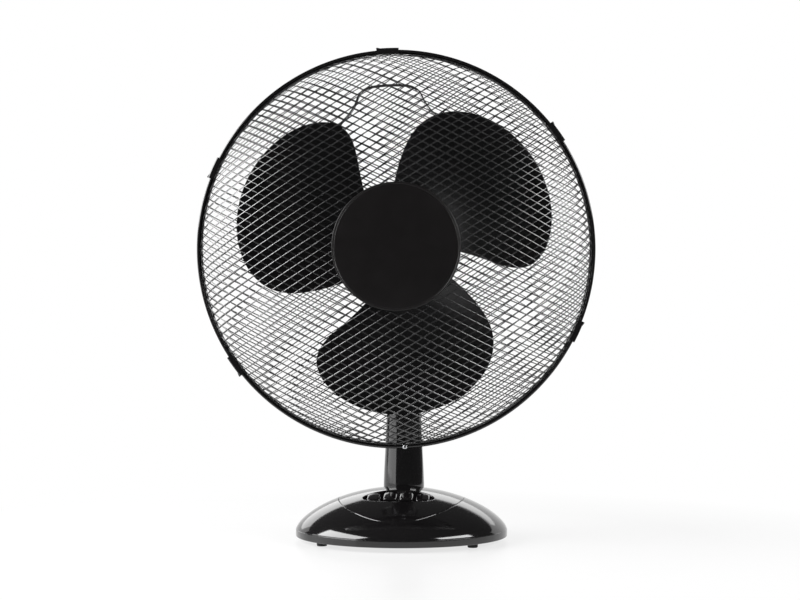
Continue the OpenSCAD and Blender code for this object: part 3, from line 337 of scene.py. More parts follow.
def prism(outline, low, high):
    """Push a flat outline from z = low to z = high."""
    return stacked([[(x, y, z) for x, y in outline] for z in (low, high)])


def moved(form, place):
    return [tuple(place @ Vector(p)) for p in form[0]], form[1]


def joined(*forms):
    points, faces = [], []
    for form in forms:
        faces += [[i + len(points) for i in face] for face in form[1]]
        points += form[0]
    return points, faces


print("a rod of 32 steps has", len(rod(5, 0, 10, 32)[1]), "faces")

# %% [markdown]
# ## From points to a mesh object
# A mesh made from points may hold doubles where two rows meet, and faces that look inward. Both are
# mended at once, before any boolean cut. The place goes into the mesh itself and the object stays at
# the origin, as the frame's own nodes do.

# %% Mesh object from points and faces
def new_mesh(name, points, faces=()):
    mesh = bpy.data.meshes.new(name)
    mesh.from_pydata(points, [], faces)
    return mesh


def build(name, form, place=BASE, finish=gloss, smooth=32, cuts=()):
    """One closed mesh, in metres, with its cuts applied."""
    mesh = new_mesh(name, *form)
    mesh.transform(place @ Matrix.Scale(MM, 4))
    mesh.materials.append(finish)
    obj = in_scene(name, mesh)
    tidy(mesh)
    for cutter in cuts:
        cut = obj.modifiers.new("cut", "BOOLEAN")
        cut.object, cut.operation, cut.solver = cutter, "DIFFERENCE", "EXACT"
    settle(obj)
    for cutter in cuts:
        bpy.data.objects.remove(cutter)
    obj.data.shade_smooth()
    obj.data.set_sharp_from_angle(angle=math.radians(smooth))
    return obj


def tidy(mesh):
    """Merge doubles and point the faces outward."""
    shape = bmesh.new()
    shape.from_mesh(mesh)
    bmesh.ops.remove_doubles(shape, verts=shape.verts, dist=1e-6)
    bmesh.ops.recalc_face_normals(shape, faces=shape.faces)
    shape.to_mesh(mesh)
    shape.free()


def settle(obj):
    """Turn an object with modifiers into a plain mesh."""
    if obj.modifiers:
        bpy.context.view_layer.update()
        evaluated = obj.evaluated_get(bpy.context.evaluated_depsgraph_get())
        plain = bpy.data.meshes.new_from_object(evaluated)
        obj.modifiers.clear()
        obj.data = plain


def merge(whole, part):
    with bpy.context.temp_override(active_object=whole, selected_editable_objects=[whole, part]):
        bpy.ops.object.join()


print("meshes are scaled by", MM)

# %% [markdown]
# ## Handing a piece over
# Each finished piece stands in for one or more nodes of the frame. It moves with the body of the first
# of them, and the nodes it replaces are hidden, so one call settles both.

# %% Hand a finished piece over to the frame
def fit(obj, *nodes):
    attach(obj, node_body[nodes[0]])
    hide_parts(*nodes)
    print(f"{obj.name}: {len(obj.data.polygons)} faces for {', '.join(nodes)}")


print(len(set(node_body.values())), "bodies can carry pieces")

# %% [markdown]
# ## The base's form
# The base is a low dome, moulded in two: an oval panel that carries the keys and the column, and the
# cover round it. The dome's outline is a superellipse, steeper at the rim than a ball would be. Each
# moulding's edge rolls over into the seam between them.

# %% Dome and oval
RIM, BAND_TOP, CROWN = 117.6, 13.5, 59.5
PANEL = (70.0, 102.0)
WELL, WELL_AT, WELL_FLOOR = (39.0, 20.0), Vector((0.0, -44.0)), 42.0
COLUMN_AT = Vector((0.0, 35.0))
CENTRE = Vector((0.0, 0.0))
WALL = 2.4
# Offset from the edge and drop below the skin, from the skin into the seam
ROLL = [(0.9, 0.0), (0.55, 0.05), (0.25, 0.22), (0.06, 0.5), (0.0, 0.9), (0.0, WALL)]


def dome(radius):
    return BAND_TOP + (CROWN - BAND_TOP) * max(0.0, 1 - (min(radius, RIM) / RIM) ** 1.95) ** (1 / 1.46)


def oval_reach(start, direction, oval):
    """Distance from start, along a direction, to an oval about the centre."""
    s, d = start, direction
    a = (d.x / oval[0]) ** 2 + (d.y / oval[1]) ** 2
    b = 2 * (s.x * d.x / oval[0] ** 2 + s.y * d.y / oval[1] ** 2)
    c = (s.x / oval[0]) ** 2 + (s.y / oval[1]) ** 2 - 1
    return (-b + math.sqrt(b * b - 4 * a * c)) / (2 * a)


print("dome is", round(dome(0), 1), "mm high, and", round(dome(RIM), 1), "mm at its rim")

# %% [markdown]
# ## The cover
# The cover could be a turned disc with an oval cut out of it, but the cut would leave ragged faces
# that show in a glossy skin. A grid laid between the oval and the rim has clean faces along both
# edges, so that reflections run without ripples.

# %% Cover: from the seam out to the rim
TURNS, SKIN_ROWS, UNDER_ROWS = 192, 40, 12
INNER_RIM, UNDER_REACH = 115.2, 112.9
turn = [2 * math.pi * k / TURNS for k in range(TURNS)]
directions = [Vector((math.cos(a), math.sin(a))) for a in turn]
seam = [oval_reach(CENTRE, d, PANEL) for d in directions]


def skin_row(reaches, drop=0.0):
    return [(d.x * r, d.y * r, dome(r) - drop) for d, r in zip(directions, reaches)]


skin = [skin_row([r + offset for r in seam], drop) for offset, drop in reversed(ROLL)]
low = [math.asin((r + ROLL[0][0]) / RIM) for r in seam]
for s in range(1, SKIN_ROWS + 1):
    skin.append(skin_row([RIM * math.sin(a + (math.pi / 2 - a) * s / SKIN_ROWS) for a in low]))
for radius, height in [(RIM, 12.9), (116.8, 12.7), (116.8, 11.0), (115.0, 11.0), (115.0, 13.9)]:
    skin.append([(d.x * radius, d.y * radius, height) for d in directions])
for s in range(UNDER_ROWS, -1, -1):
    reaches = [(r + 0.01) + (UNDER_REACH - r) * s / UNDER_ROWS for r in seam]
    skin.append([(d.x * r, d.y * r, dome(r * RIM / INNER_RIM) - WALL) for d, r in zip(directions, reaches)])
band = lathe(rounded([(118, 5.5, 1.0), (118, 13.5, 0.9), (116.9, 13.5, 0.3), (116.9, 12.7, 0),
                      (115.4, 12.7, 0), (115.4, 5.5, 0.3)]), TURNS)
fit(build("base_cover_skin", joined(rows_to_faces(skin + [skin[0]]), band), smooth=40), "base_cover")

# %% [markdown]
# ## The control panel
# Seen from the key well, the panel's outer edge is an oval too, so rays from the middle of the well
# reach from one edge to the other. The well is a smooth-walled bowl with a flat floor, and the column
# stands in a low collar behind it.

# %% Panel with its key well and the column's collar
TOP_ROWS, FLOOR_ROWS, GAP = 44, 20, 0.3
outer = [oval_reach(WELL_AT, d, (PANEL[0] - GAP, PANEL[1] - GAP)) for d in directions]
inner = [oval_reach(CENTRE, d, WELL) for d in directions]


def panel_row(reaches, drop=0.0, height=None):
    spots = [WELL_AT + d * r for d, r in zip(directions, reaches)]
    return [(p.x, p.y, (dome(p.length) if height is None else height) - drop) for p in spots]


def between(t, from_well, from_edge):
    return [(i + from_well) * (1 - t) + (o - from_edge) * t for i, o in zip(inner, outer)]


middle = [(WELL_AT.x, WELL_AT.y)] * TURNS
rows = [[(x, y, WELL_FLOOR) for x, y in middle]]
rows += [[(WELL_AT.x + d.x * r * share, WELL_AT.y + d.y * r * share, WELL_FLOOR)
          for d, r in zip(directions, inner)] for share in (0.5, 0.93)]
rows.append(panel_row([r - 1.0 for r in inner], height=WELL_FLOOR + 0.2))
rows.append(panel_row([r - 0.3 for r in inner], height=WELL_FLOOR + 1.0))
rows += [panel_row([r + offset for r in inner], drop) for offset, drop in reversed(ROLL)]
rows += [panel_row(between(s / TOP_ROWS, 0.9, 0.9)) for s in range(1, TOP_ROWS)]
rows += [panel_row([r - offset for r in outer], drop) for offset, drop in ROLL]
rows += [panel_row(between(s / FLOOR_ROWS, 2.0, 1.0), WALL) for s in range(FLOOR_ROWS, -1, -1)]
rows.append(panel_row([r + 2.0 for r in inner], height=WELL_FLOOR - 2))
rows.append([(x, y, WELL_FLOOR - 2) for x, y in middle])
column_spot = shift((COLUMN_AT.x, COLUMN_AT.y, 0))
pocket = build("pocket", moved(rod(24, 40, 70, 96), column_spot))
panel = build("control_panel_skin", rows_to_faces(rows), smooth=40, cuts=[pocket])
collar = rounded([(23.98, 45.5, 0.3), (23.98, 54.5, 0.6), (15.4, 54.5, 0.3), (15.4, 45.5, 0)])
merge(panel, build("seat", moved(lathe(collar, 96), column_spot)))
fit(panel, "control_panel")

# %% [markdown]
# ## The speed keys
# Each key is a small barrel: its top and front bulge across the width and its ends roll over. Making
# it as slices along its width, each a little smaller towards the ends, gives that bulge directly.

# %% Keys
KEY_WIDTH, KEY_PITCH, KEY_MIDDLE, KEY_LOW, KEY_DEPTH = 15.0, 17.8, -44.0, 46.3, 8.5
KEY_SLICES, END_ROLL, BULGE = 24, 1.8, 1.5


def key_form(x_middle):
    front = dome(math.hypot(x_middle, KEY_MIDDLE - KEY_DEPTH)) - 0.5
    back = dome(math.hypot(x_middle, KEY_MIDDLE + KEY_DEPTH)) + 0.9
    side = rounded([(-KEY_DEPTH, KEY_LOW, 0.6), (-KEY_DEPTH, front, 2.2), (KEY_DEPTH, back, 1.6),
                    (KEY_DEPTH, KEY_LOW, 0.6)], steps=7)
    waist = KEY_LOW + 1.0
    slices, half = [], KEY_WIDTH / 2
    for k in range(KEY_SLICES + 1):
        x = -half * math.cos(math.pi * k / KEY_SLICES)
        end = max(0.0, (abs(x) - (half - END_ROLL)) / END_ROLL)
        shrink = BULGE * (x / half) ** 2 + END_ROLL * (1 - math.sqrt(max(0.0, 1 - end * end)))
        slices.append([(x_middle + x, KEY_MIDDLE + y * (1 - shrink / 9),
                        waist + (z - waist) * (1 - shrink / 9)) for y, z in side])
    stem = prism([(-3.5, -4), (3.5, -4), (3.5, 4), (-3.5, 4)], 24.3, KEY_LOW + 0.5)
    return joined(stacked(slices), moved(stem, shift((x_middle, KEY_MIDDLE, 0))))


for k in range(4):
    fit(build(f"speed_key_{k}", key_form((k - 1.5) * KEY_PITCH), smooth=50), f"key_{k}")

# %% [markdown]
# ## Curves without kinks
# A glossy side shows every kink. A curve through a few measured points bends evenly from one to the
# next, so the column's side and the handle's wire both need only a short list.

# %% Smooth curve through points
def curve_through(points, steps=6):
    """Catmull-Rom curve through the points."""
    points = [Vector(p) for p in points]
    out, last = [], len(points) - 1
    for i in range(last):
        a, b, c, d = points[max(0, i - 1)], points[i], points[i + 1], points[min(last, i + 2)]
        for s in range(steps):
            t = s / steps
            out.append(0.5 * (2 * b + (c - a) * t + (2 * a - 5 * b + 4 * c - d) * t * t
                              + (3 * b - a - 3 * c + d) * t ** 3))
    return out + [points[-1]]


print("three points give", len(curve_through([(0, 0), (1, 1), (2, 0)])), "on the curve")

# %% [markdown]
# ## The column
# One moulding: a socketed foot, a long taper that is slightly hollow-sided, and a tongue for the
# tilt joint on top. The shell is turned in one outline, inside and out, and the tongue is a plate.

# %% Column with its tongue
COLUMN_TOP, TONGUE_R, TONGUE_HALF = 218, 10, 8
taper = curve_through([(23, 60), (22.3, 78), (21.3, 98), (20.2, 125), (19.0, 155), (18.1, 185), (17.6, 214)])
foot = rounded([(15, 37, 0.4), (15, 54.5, 0), (19, 54.5, 0), (23, 54.5, 4), (23, 60, 0)], closed=False)
top = rounded([(17.6, 214, 0), (17.6, COLUMN_TOP, 1.8), (0, COLUMN_TOP, 0)], closed=False)
shell = lathe([(0, 209), (12, 209), (12, 37)] + foot[:-1] + [tuple(p) for p in taper] + top[1:], 128)
round_top = arc(TONGUE_R, degrees(0, 180, 10), 0, 14)
tongue = prism([(TONGUE_R, -1)] + round_top + [(-TONGUE_R, -1)], -TONGUE_HALF, TONGUE_HALF)
stand_up = Matrix(((0, 0, 1, 0), (1, 0, 0, 0), (0, 1, 0, COLUMN_TOP), (0, 0, 0, 1)))
column_place = shift((COLUMN_AT.x * MM, COLUMN_AT.y * MM, 0))
column_form = joined(shell, moved(tongue, stand_up))
fit(build("column_moulding", column_form, column_place, smooth=35), "column")

# %% [markdown]
# ## The blades
# A fan blade is a broad lobe that twists: one edge lies well behind the other, and the middle sags a
# little between them. Its outline and its twist follow a rule, so each point of it comes from two
# numbers, the way out from the hub and the way across the lobe.

# %% One blade as a double skin
BLADES, FIRST_BLADE, ROOT, TIP_REACH = 3, -53, 33, 147
WIDEST_AT, LOBE_REACH, LOBE_HALF = 70, 110, 46.5
BLADE_DEPTH, TWIST, SAG, HALF_THICK = 82, 19, 4, 1.3


def blade_point(radius, t, lift):
    x = (radius - WIDEST_AT) / LOBE_REACH
    width = LOBE_HALF * math.sqrt(1 - max(0.0, min(0.9997, x)) ** 4.3)
    sweep = 4.5 - 13 * max(0.0, 1 - x) ** 1.5
    angle = math.radians(90 - sweep - width * t)
    share = width / LOBE_HALF
    depth = BLADE_DEPTH - TWIST * share * t - SAG * (1 - t * t) * share
    skin = 0.22 + 0.78 * math.sqrt(max(0.0, 1 - t * t * 0.98))
    return (radius * math.cos(angle), radius * math.sin(angle), depth + lift * skin)


def blade_form(rows=40, columns=44):
    ways = [math.sin(math.pi / 2 * (2 * j / columns - 1)) for j in range(columns + 1)]
    loops = []
    for i in range(rows + 1):
        radius = ROOT + TIP_REACH * math.sin(math.pi / 2 * i / rows)
        front, back = [[blade_point(radius, t, lift) for t in ways] for lift in (HALF_THICK, -HALF_THICK)]
        loops.append(front + back[::-1])
    points, faces = rows_to_faces(loops)
    n = len(loops[0])
    for start in (0, rows * n):
        for j in range(columns):
            faces.append([start + j, start + j + 1, start + n - 2 - j, start + n - 1 - j])
    return points, faces


hub = lathe(rounded([(34, 58, 0.6), (34, 104, 3.0), (4.03, 104, 0), (4.03, 62, 0), (9, 62, 0.4),
                     (9, 101.6, 0.5), (31.6, 101.6, 0.5), (31.6, 58, 0.4)]), 128)
blades = [moved(blade_form(), about_z(FIRST_BLADE - 360 // BLADES * k)) for k in range(BLADES)]
fit(build("impeller_moulding", joined(hub, *blades), FAN, blade_gloss, smooth=40), "impeller")

# %% [markdown]
# ## The badge
# The badge is a shallow satin disc with a fine polished line at its rim, held by three posts behind
# it. It rests on the guard's dome, so its height comes from the rule that also shapes the mesh.

# %% Badge
HOOP_LIFT, GUARD_U, MESH_EDGE, FRONT_DEPTH = 2.6, 100.0, 210.8, 62.0
RIM_TURN = math.radians(84)
BADGE_R, HOOP_R, CLEARANCE = 67.7, 0.9, 0.3
FRONT_HOLE, REAR_HOLE = 60.0, 44.0


def dome_share(radius):
    """Height of the guard's dome at a radius, as a share of its depth."""
    a = math.asin(radius * math.sin(RIM_TURN) / MESH_EDGE)
    return (math.cos(a) - math.cos(RIM_TURN)) / (1 - math.cos(RIM_TURN))


edge_u = GUARD_U + HOOP_LIFT + FRONT_DEPTH * dome_share(BADGE_R) + 1.3
crown = [(r, edge_u + 2.2 + 2.76 * (1 - (r / BADGE_R) ** 2)) for r in np.linspace(64.6, 0, 20)]
badge_rim = rounded([(64.7, edge_u + 0.6, 0.3), (65.7, edge_u, 0.3), (67.3, edge_u, 0.3),
                     (BADGE_R, edge_u + 0.9, 0.4), (67.1, edge_u + 2.0, 0.5),
                     (66.0, edge_u + 2.25, 0.5)], closed=False)
badge_profile = [(0, edge_u + 2.2), (52, edge_u + 1.0)] + badge_rim
badge_profile += [(65.4, edge_u + 1.9), (65.1, edge_u + 1.95)] + crown
retainer_top = GUARD_U + HOOP_LIFT + FRONT_DEPTH * dome_share(FRONT_HOLE) - HOOP_R - CLEARANCE
post = rod(3.5, retainer_top, edge_u + 2, 24)
posts = [moved(post, about_z(a) @ shift((30, 0, 0))) for a in (30, 150, 270)]
disc = joined(lathe(badge_profile, 160, closed=False), *posts)
fit(build("badge_disc", disc, GUARD, satin, smooth=35), "badge")

# %% [markdown]
# ## The rings
# The two guard rings are L-shaped in section, with the flange at the joint, so that the clips can
# hook over both. Each has a boss for the safety screw, and the rear one carries the clips' lugs.

# %% Front and rear rings
CLIP_ANGLES = [0, 56.5, 117, 236.5, 296.5]
PIVOT_R, PIVOT_U, BARREL_R = 212.6, 91.4, 2.3
BOSS_ANGLE = 180
lay_tangent = Matrix.Rotation(math.radians(-90), 4, "X")


def ring_profile(side):
    corners = [(209, 0.1, 0.2), (215, 0.1, 0.9), (215, 5.4, 1.4), (212, 5.4, 0.4), (212, 1.4, 0.3),
               (209, 1.4, 0.2)]
    return [(r, GUARD_U + side * h) for r, h in rounded(corners)]


def at_clock(angle, radius=0.0):
    """Place on the guard at a clock angle in degrees from the top."""
    return about_z(90 - angle) @ shift((radius, 0, 0))


def screw_boss(low, high):
    return moved(prism(arc(3.2, degrees(-110, 110, 20)), low, high), at_clock(BOSS_ANGLE, 213.5))


def lug(side):
    """Ear of a clip's hinge, standing on the rear ring."""
    ear = arc(BARREL_R, degrees(0, 180, 15), PIVOT_R, -PIVOT_U)
    outline = [(PIVOT_R + BARREL_R, -95.0)] + ear + [(PIVOT_R - BARREL_R, -95.0)]
    low = 7.3 if side > 0 else -9.8
    return moved(prism(outline, low, low + 2.5), lay_tangent)


front_form = joined(lathe(ring_profile(1), 256), screw_boss(100.15, 105.3))
fit(build("front_ring_moulding", front_form, GUARD, smooth=40), "front_guard_ring")
lugs = [moved(lug(side), at_clock(a)) for a in CLIP_ANGLES for side in (1, -1)]
rear_form = joined(lathe(ring_profile(-1), 256), screw_boss(94.7, 99.85), *lugs)
fit(build("rear_ring_moulding", rear_form, GUARD, smooth=40), "rear_guard_ring")

# %% [markdown]
# ## Trees of geometry nodes
# What repeats on the fan is laid out by geometry nodes. Each tree has named inputs, and ends by
# turning instances into real mesh and giving it a finish, because a copy that is only an instance
# would be lost on export. A carrier object runs the tree once and keeps the plain mesh.

# %% Open, close and run a tree
def new_tree(name, sockets):
    """An open tree with named inputs, and the identifiers of those inputs."""
    tree = bpy.data.node_groups.new(name, "GeometryNodeTree")
    add = tree.interface.new_socket
    inputs = {label: add(name=label, in_out="INPUT", socket_type="NodeSocket" + kind).identifier
              for label, kind in [("Geometry", "Geometry")] + sockets}
    add(name="Geometry", in_out="OUTPUT", socket_type="NodeSocketGeometry")
    return Graph(tree), inputs


def close_tree(g, geometry, finish):
    whole = g.node("GeometryNodeRealizeInstances", {}, {"Geometry": geometry})["Geometry"]
    done = g.node("GeometryNodeSetMaterial", {}, {"Geometry": whole, "Material": finish})["Geometry"]
    g.node("NodeGroupOutput", {}, {"Geometry": done})


def grow(name, graph, inputs, values, points=()):
    """Run a tree on a carrier that holds the points."""
    carrier = in_scene(name, new_mesh(name, points))
    modifier = carrier.modifiers.new("grow", "NODES")
    modifier.node_group = graph.tree
    for key, value in values.items():
        modifier[inputs[key]] = value
    carrier.update_tag()
    settle(carrier)
    return carrier


print("trees can be opened, closed and run")

# %% [markdown]
# ## The pressed mesh of the guards
# The guards are slit sheet, pulled open into diamonds and pressed into a dome. A point at a distance q
# along the sheet ends up at an angle on the dome. The length along an ellipse has no plain formula,
# so a short polynomial gives that angle, fitted here from the dome's own arc length.

# %% Lengths along the dome, and the polynomial for the angle
POWERS, Q_UNIT = (1, 3, 5, 7), 200
REACH = MESH_EDGE / math.sin(RIM_TURN)


def dome_bend(depth):
    """Factors of the powers of q for the angle on the dome, and the length at a radius."""
    a = np.radians(np.linspace(0, 86, 400))
    height = depth / (1 - math.cos(RIM_TURN))
    steps = np.hypot(np.diff(REACH * np.sin(a)), np.diff(height * np.cos(a)))
    q = np.concatenate([[0], np.cumsum(steps)])
    table = np.stack([(q / Q_UNIT) ** k for k in POWERS], 1)
    factors = np.linalg.lstsq(table, a, rcond=None)[0]
    return factors, lambda radius: float(np.interp(math.asin(radius / REACH), a, q))


print("front sheet reaches", round(dome_bend(FRONT_DEPTH)[1](MESH_EDGE), 1), "mm from its middle")

# %% [markdown]
# ## Two strands of the sheet
# Pulling the slit sheet open twists each strand, so its face leans back and catches the side light.
# A bar with six sides is enough for that, with three of them as a crowned face. One pair of crossing
# strands is all that gets modelled, because the rest are copies of it.

# %% One pair of strands, bars with a crowned face that leans back
LONG_WAY, SHORT_WAY, LEAN, OVERLAP = 16.1, 9.2, math.radians(22), 0.4
STRAND_FORM = [(0.56, 0.12), (0.25, 0.27), (-0.25, 0.27), (-0.56, 0.12), (-0.56, -0.27), (0.56, -0.27)]


def strand_pair():
    forms = []
    for side in (1, -1):
        end = Vector((side * LONG_WAY / 2, SHORT_WAY / 2, 0))
        along = end.normalized()
        aside = Vector((-along.y, along.x, 0)) * side
        face = UP * math.cos(LEAN) + aside * math.sin(LEAN)
        wide = aside * math.cos(LEAN) - UP * math.sin(LEAN)
        corners = [wide * i + face * j for i, j in STRAND_FORM][::side]
        spots = (-along * OVERLAP, end + along * OVERLAP)
        forms.append(stacked([[tuple(spot + corner) for corner in corners] for spot in spots]))
    return joined(*forms)


print("a pair has", len(strand_pair()[1]), "faces")

# %% [markdown]
# ## Laying out and pressing the sheet
# A staggered grid gets one pair of strands at every corner, still flat, and a Set Position node then
# presses the whole sheet at once, as the real tool does. Strands beyond the rim or inside the hole
# are dropped. Bending each strand by itself would leave gaps at the joints.

# %% The tree of the pressed sheet
def sheet_tree():
    floats = ["Hole length", "Edge length", "Reach", "Height", "Side", "Lift"] + [f"Bend {k}" for k in POWERS]
    g, inputs = new_tree("pressed sheet", [
        ("Strands", "Object"), ("Finish", "Material"), ("Long way", "Float"), ("Short way", "Float"),
        ("Across", "Int"), ("Up", "Int")] + [(name, "Float") for name in floats])
    given = g.node("NodeGroupInput")
    across_n, up_n = given["Across"], given["Up"]
    grid = g.node("GeometryNodeMeshGrid", {}, {
        "Size X": (across_n - 1) * given["Long way"], "Vertices X": across_n,
        "Size Y": (up_n - 1) * given["Short way"], "Vertices Y": up_n})["Mesh"]
    half = g.node("ShaderNodeCombineXYZ", {}, {"X": given["Long way"] * 0.5, "Y": given["Short way"] * 0.5})
    second = g.node("GeometryNodeTransform", {}, {"Geometry": grid, "Translation": half["Vector"]})
    both = g.node("GeometryNodeJoinGeometry")
    for part in (grid, second["Geometry"]):
        g.tree.links.new(part.socket, both.node.inputs[0])
    unit = g.node("GeometryNodeObjectInfo", {}, {"Object": given["Strands"]})["Geometry"]
    laid = g.node("GeometryNodeInstanceOnPoints", {}, {"Points": both["Geometry"], "Instance": unit})
    flat = g.node("GeometryNodeRealizeInstances", {}, {"Geometry": laid["Instances"]})["Geometry"]

    xyz = g.node("ShaderNodeSeparateXYZ", {}, {0: g.node("GeometryNodeInputPosition")["Position"]})
    x, y, z = xyz["X"], xyz["Y"], xyz["Z"]
    far = (x * x + y * y).math("SQRT")
    beyond = far.math("GREATER_THAN", given["Edge length"]) + far.math("LESS_THAN", given["Hole length"])
    u = far.clamp(given["Hole length"], given["Edge length"]) / float(Q_UNIT)
    angle = u * given["Bend 1"]
    for k in POWERS[1:]:
        angle = angle + (u ** float(k)) * given[f"Bend {k}"]
    sine, cosine = angle.math("SINE"), angle.math("COSINE")
    out, down = given["Height"] * sine, given["Reach"] * cosine
    length = (out * out + down * down).math("SQRT")
    radius = (given["Reach"] * sine + z * out / length) / far.math("MAXIMUM", 0.001)
    rise = (cosine - math.cos(RIM_TURN)) * given["Height"] + z * down / length
    pressed = g.node("ShaderNodeCombineXYZ", {}, {
        "X": x * radius, "Y": y * radius, "Z": (given["Lift"] + rise) * given["Side"]})["Vector"]

    kept = g.node("GeometryNodeCaptureAttribute", {}, {"Geometry": flat})
    kept.node.capture_items.new("FLOAT", "beyond")
    g.tree.links.new(beyond.socket, kept.node.inputs[1])
    shaped = g.node("GeometryNodeSetPosition", {}, {"Geometry": kept["Geometry"], "Position": pressed})
    trimmed = g.node("GeometryNodeDeleteGeometry", {"domain": "FACE"}, {
        "Geometry": shaped["Geometry"], "Selection": kept[1].math("GREATER_THAN", 0.999)})
    smooth = g.node("GeometryNodeSetShadeSmooth", {}, {"Geometry": trimmed["Geometry"]})
    close_tree(g, smooth["Geometry"], given["Finish"])
    return g, inputs


sheet_graph, sheet_inputs = sheet_tree()
print(len(sheet_graph.tree.nodes), "nodes press the sheet")

# %% [markdown]
# ## The two guard meshes
# Front and rear are the same sheet, pressed to different depths with different holes. A wire hoop
# edges each of them, welded round the rim and round the hole, and covers the cut ends of the strands.

# %% Both guard meshes, with the wire hoops that edge them
ACROSS_COUNT, UP_COUNT, HUB_FACE_U = 33, 55, 36
unit = in_scene("strand pair", new_mesh("strand pair", *strand_pair()))
rear_depth = (GUARD_U - HOOP_LIFT - HUB_FACE_U - CLEARANCE - HOOP_R) / dome_share(REAR_HOLE)


def guard_sheet(name, side, depth, hole, turn):
    factors, along = dome_bend(depth)
    carrier = grow(name, sheet_graph, sheet_inputs, {
        "Strands": unit, "Finish": wire_paint, "Long way": LONG_WAY, "Short way": SHORT_WAY,
        "Across": ACROSS_COUNT, "Up": UP_COUNT, "Hole length": along(hole), "Edge length": along(MESH_EDGE),
        "Reach": REACH, "Height": depth / (1 - math.cos(RIM_TURN)), "Side": float(side), "Lift": HOOP_LIFT,
        **{f"Bend {k}": float(f) for k, f in zip(POWERS, factors)}})
    form = [tuple(v.co) for v in carrier.data.vertices], [list(f.vertices) for f in carrier.data.polygons]
    bpy.data.objects.remove(carrier)
    hoops = [lathe(arc(HOOP_R, evenly(8), radius, side * height), 160)
             for radius, height in ((MESH_EDGE, HOOP_LIFT), (hole, HOOP_LIFT + depth * dome_share(hole)))]
    place = GUARD @ shift((0, 0, GUARD_U * MM))
    return build(name, joined(moved(form, about_z(turn)), *hoops), place, wire_paint, smooth=60)


fit(guard_sheet("front_mesh_sheet", 1, FRONT_DEPTH, FRONT_HOLE, 0), "front_guard_mesh")
fit(guard_sheet("rear_mesh_sheet", -1, rear_depth, REAR_HOLE, 4), "rear_guard_mesh")
bpy.data.objects.remove(unit)

# %% [markdown]
# ## Clips
# Five spring clips hold the rings together. Each is a short curved arm with a hook in front and a
# small lever lip at one end, and turns on a pin between two lugs. They are the same moulding, so one
# form is made and turned to its place. Each is a piece of its own, because each moves by itself.

# %% Clips
CLIP_HALF, CLIP_SLICES = 3.2, 13


def clip_form():
    arm = rounded([(215.3, 92.4, 0.2), (216.7, 92.4, 0.6), (216.7, 106.7, 0.9), (215.7, 107.5, 0.5),
                   (210, 107.5, 0.5), (210, 105.7, 0.2), (215.3, 105.7, 0.3)], steps=3)
    turn = np.radians(np.linspace(-CLIP_HALF, CLIP_HALF, CLIP_SLICES))
    bar = stacked([[(r * math.cos(a), r * math.sin(a), u) for r, u in arm] for a in turn])
    barrel = arc(BARREL_R, evenly(18), PIVOT_R, -PIVOT_U)
    pin = arc(1.2, evenly(12), PIVOT_R, -PIVOT_U)
    web = [(PIVOT_R, -94.0), (216.3, -94.0), (216.3, -90.4), (PIVOT_R, -90.4)]
    hinge = [moved(prism(o, -w, w), lay_tangent) for o, w in ((barrel, 7.0), (pin, 9.8), (web, 7.0))]
    lip = prism(rounded([(-0.3, -5, 0.1), (0.2, -5, 0.3), (1.4, -1.2, 0.5), (1.4, 0, 0.3), (-0.3, 0, 0.2)],
                        steps=3), 97.2, 103.8)
    lip = moved(lip, about_z(CLIP_HALF) @ shift((216.7, 0, 0)))
    return joined(bar, lip, *hinge)


for k, angle in enumerate(CLIP_ANGLES, 1):
    clip = build(f"clip_moulding_{k}", clip_form(), GUARD @ about_z(90 - angle), smooth=40)
    fit(clip, f"guard_clip_{k}")

# %% [markdown]
# ## Screws
# A pan-head screw is a turned head with a cross sunk into it. The head is made once, and Geometry
# Nodes put a copy on every point of a small cloud, which works for one screw or for six.

# %% Screw head with a cross recess, and the tree that copies it
def screw_object(head_r, head_h, shank_r, shank_l):
    body = turned([(0, head_h, 0), (head_r * 0.75, head_h, head_h * 0.5),
                   (head_r, head_h * 0.35, head_h * 0.2), (head_r, 0, 0), (shank_r, 0, 0),
                   (shank_r, -shank_l, 0.3), (0, -shank_l, 0)], 32, arc_steps=4)
    arms = []
    for w, l in ((head_r * 0.13, head_r * 0.62), (head_r * 0.62, head_r * 0.13)):
        arms.append(build("cross", prism([(-w, -l), (w, -l), (w, l), (-w, l)], head_h * 0.45, head_h * 2)))
    return build("screw", body, finish=steel, cuts=arms, smooth=40)


spread, spread_inputs = new_tree("on points", [("Part", "Object"), ("Finish", "Material"),
                                               ("Tilt", "Vector")])
given = spread.node("NodeGroupInput")
part = spread.node("GeometryNodeObjectInfo", {}, {"Object": given["Part"]})["Geometry"]
copies = spread.node("GeometryNodeInstanceOnPoints", {}, {
    "Points": given["Geometry"], "Instance": part, "Rotation": given["Tilt"]})["Instances"]
close_tree(spread, copies, given["Finish"])


def on_points(name, part, spots, tilt, finish, place=BASE):
    """A copy of the part at each spot, in millimetres, all tilted alike."""
    values = {"Part": part, "Finish": finish, "Tilt": tilt}
    obj = grow(name, spread, spread_inputs, values, [tuple(Vector(s) * MM) for s in spots])
    obj.data.transform(place)
    bpy.data.objects.remove(part)
    return obj


def ring_spots(radius, angles, height):
    return [(x, y, height) for x, y in arc(radius, [math.radians(a) for a in angles])]


print(len(spread.tree.nodes), "nodes copy a part")

# %% [markdown]
# ## Where the screws go
# Six screws hold the base plate and face down, and one sits in the middle of the motor cover's back.
# The safety screw passes through both rings at the bottom of the guard and ends in a six-sided nut.

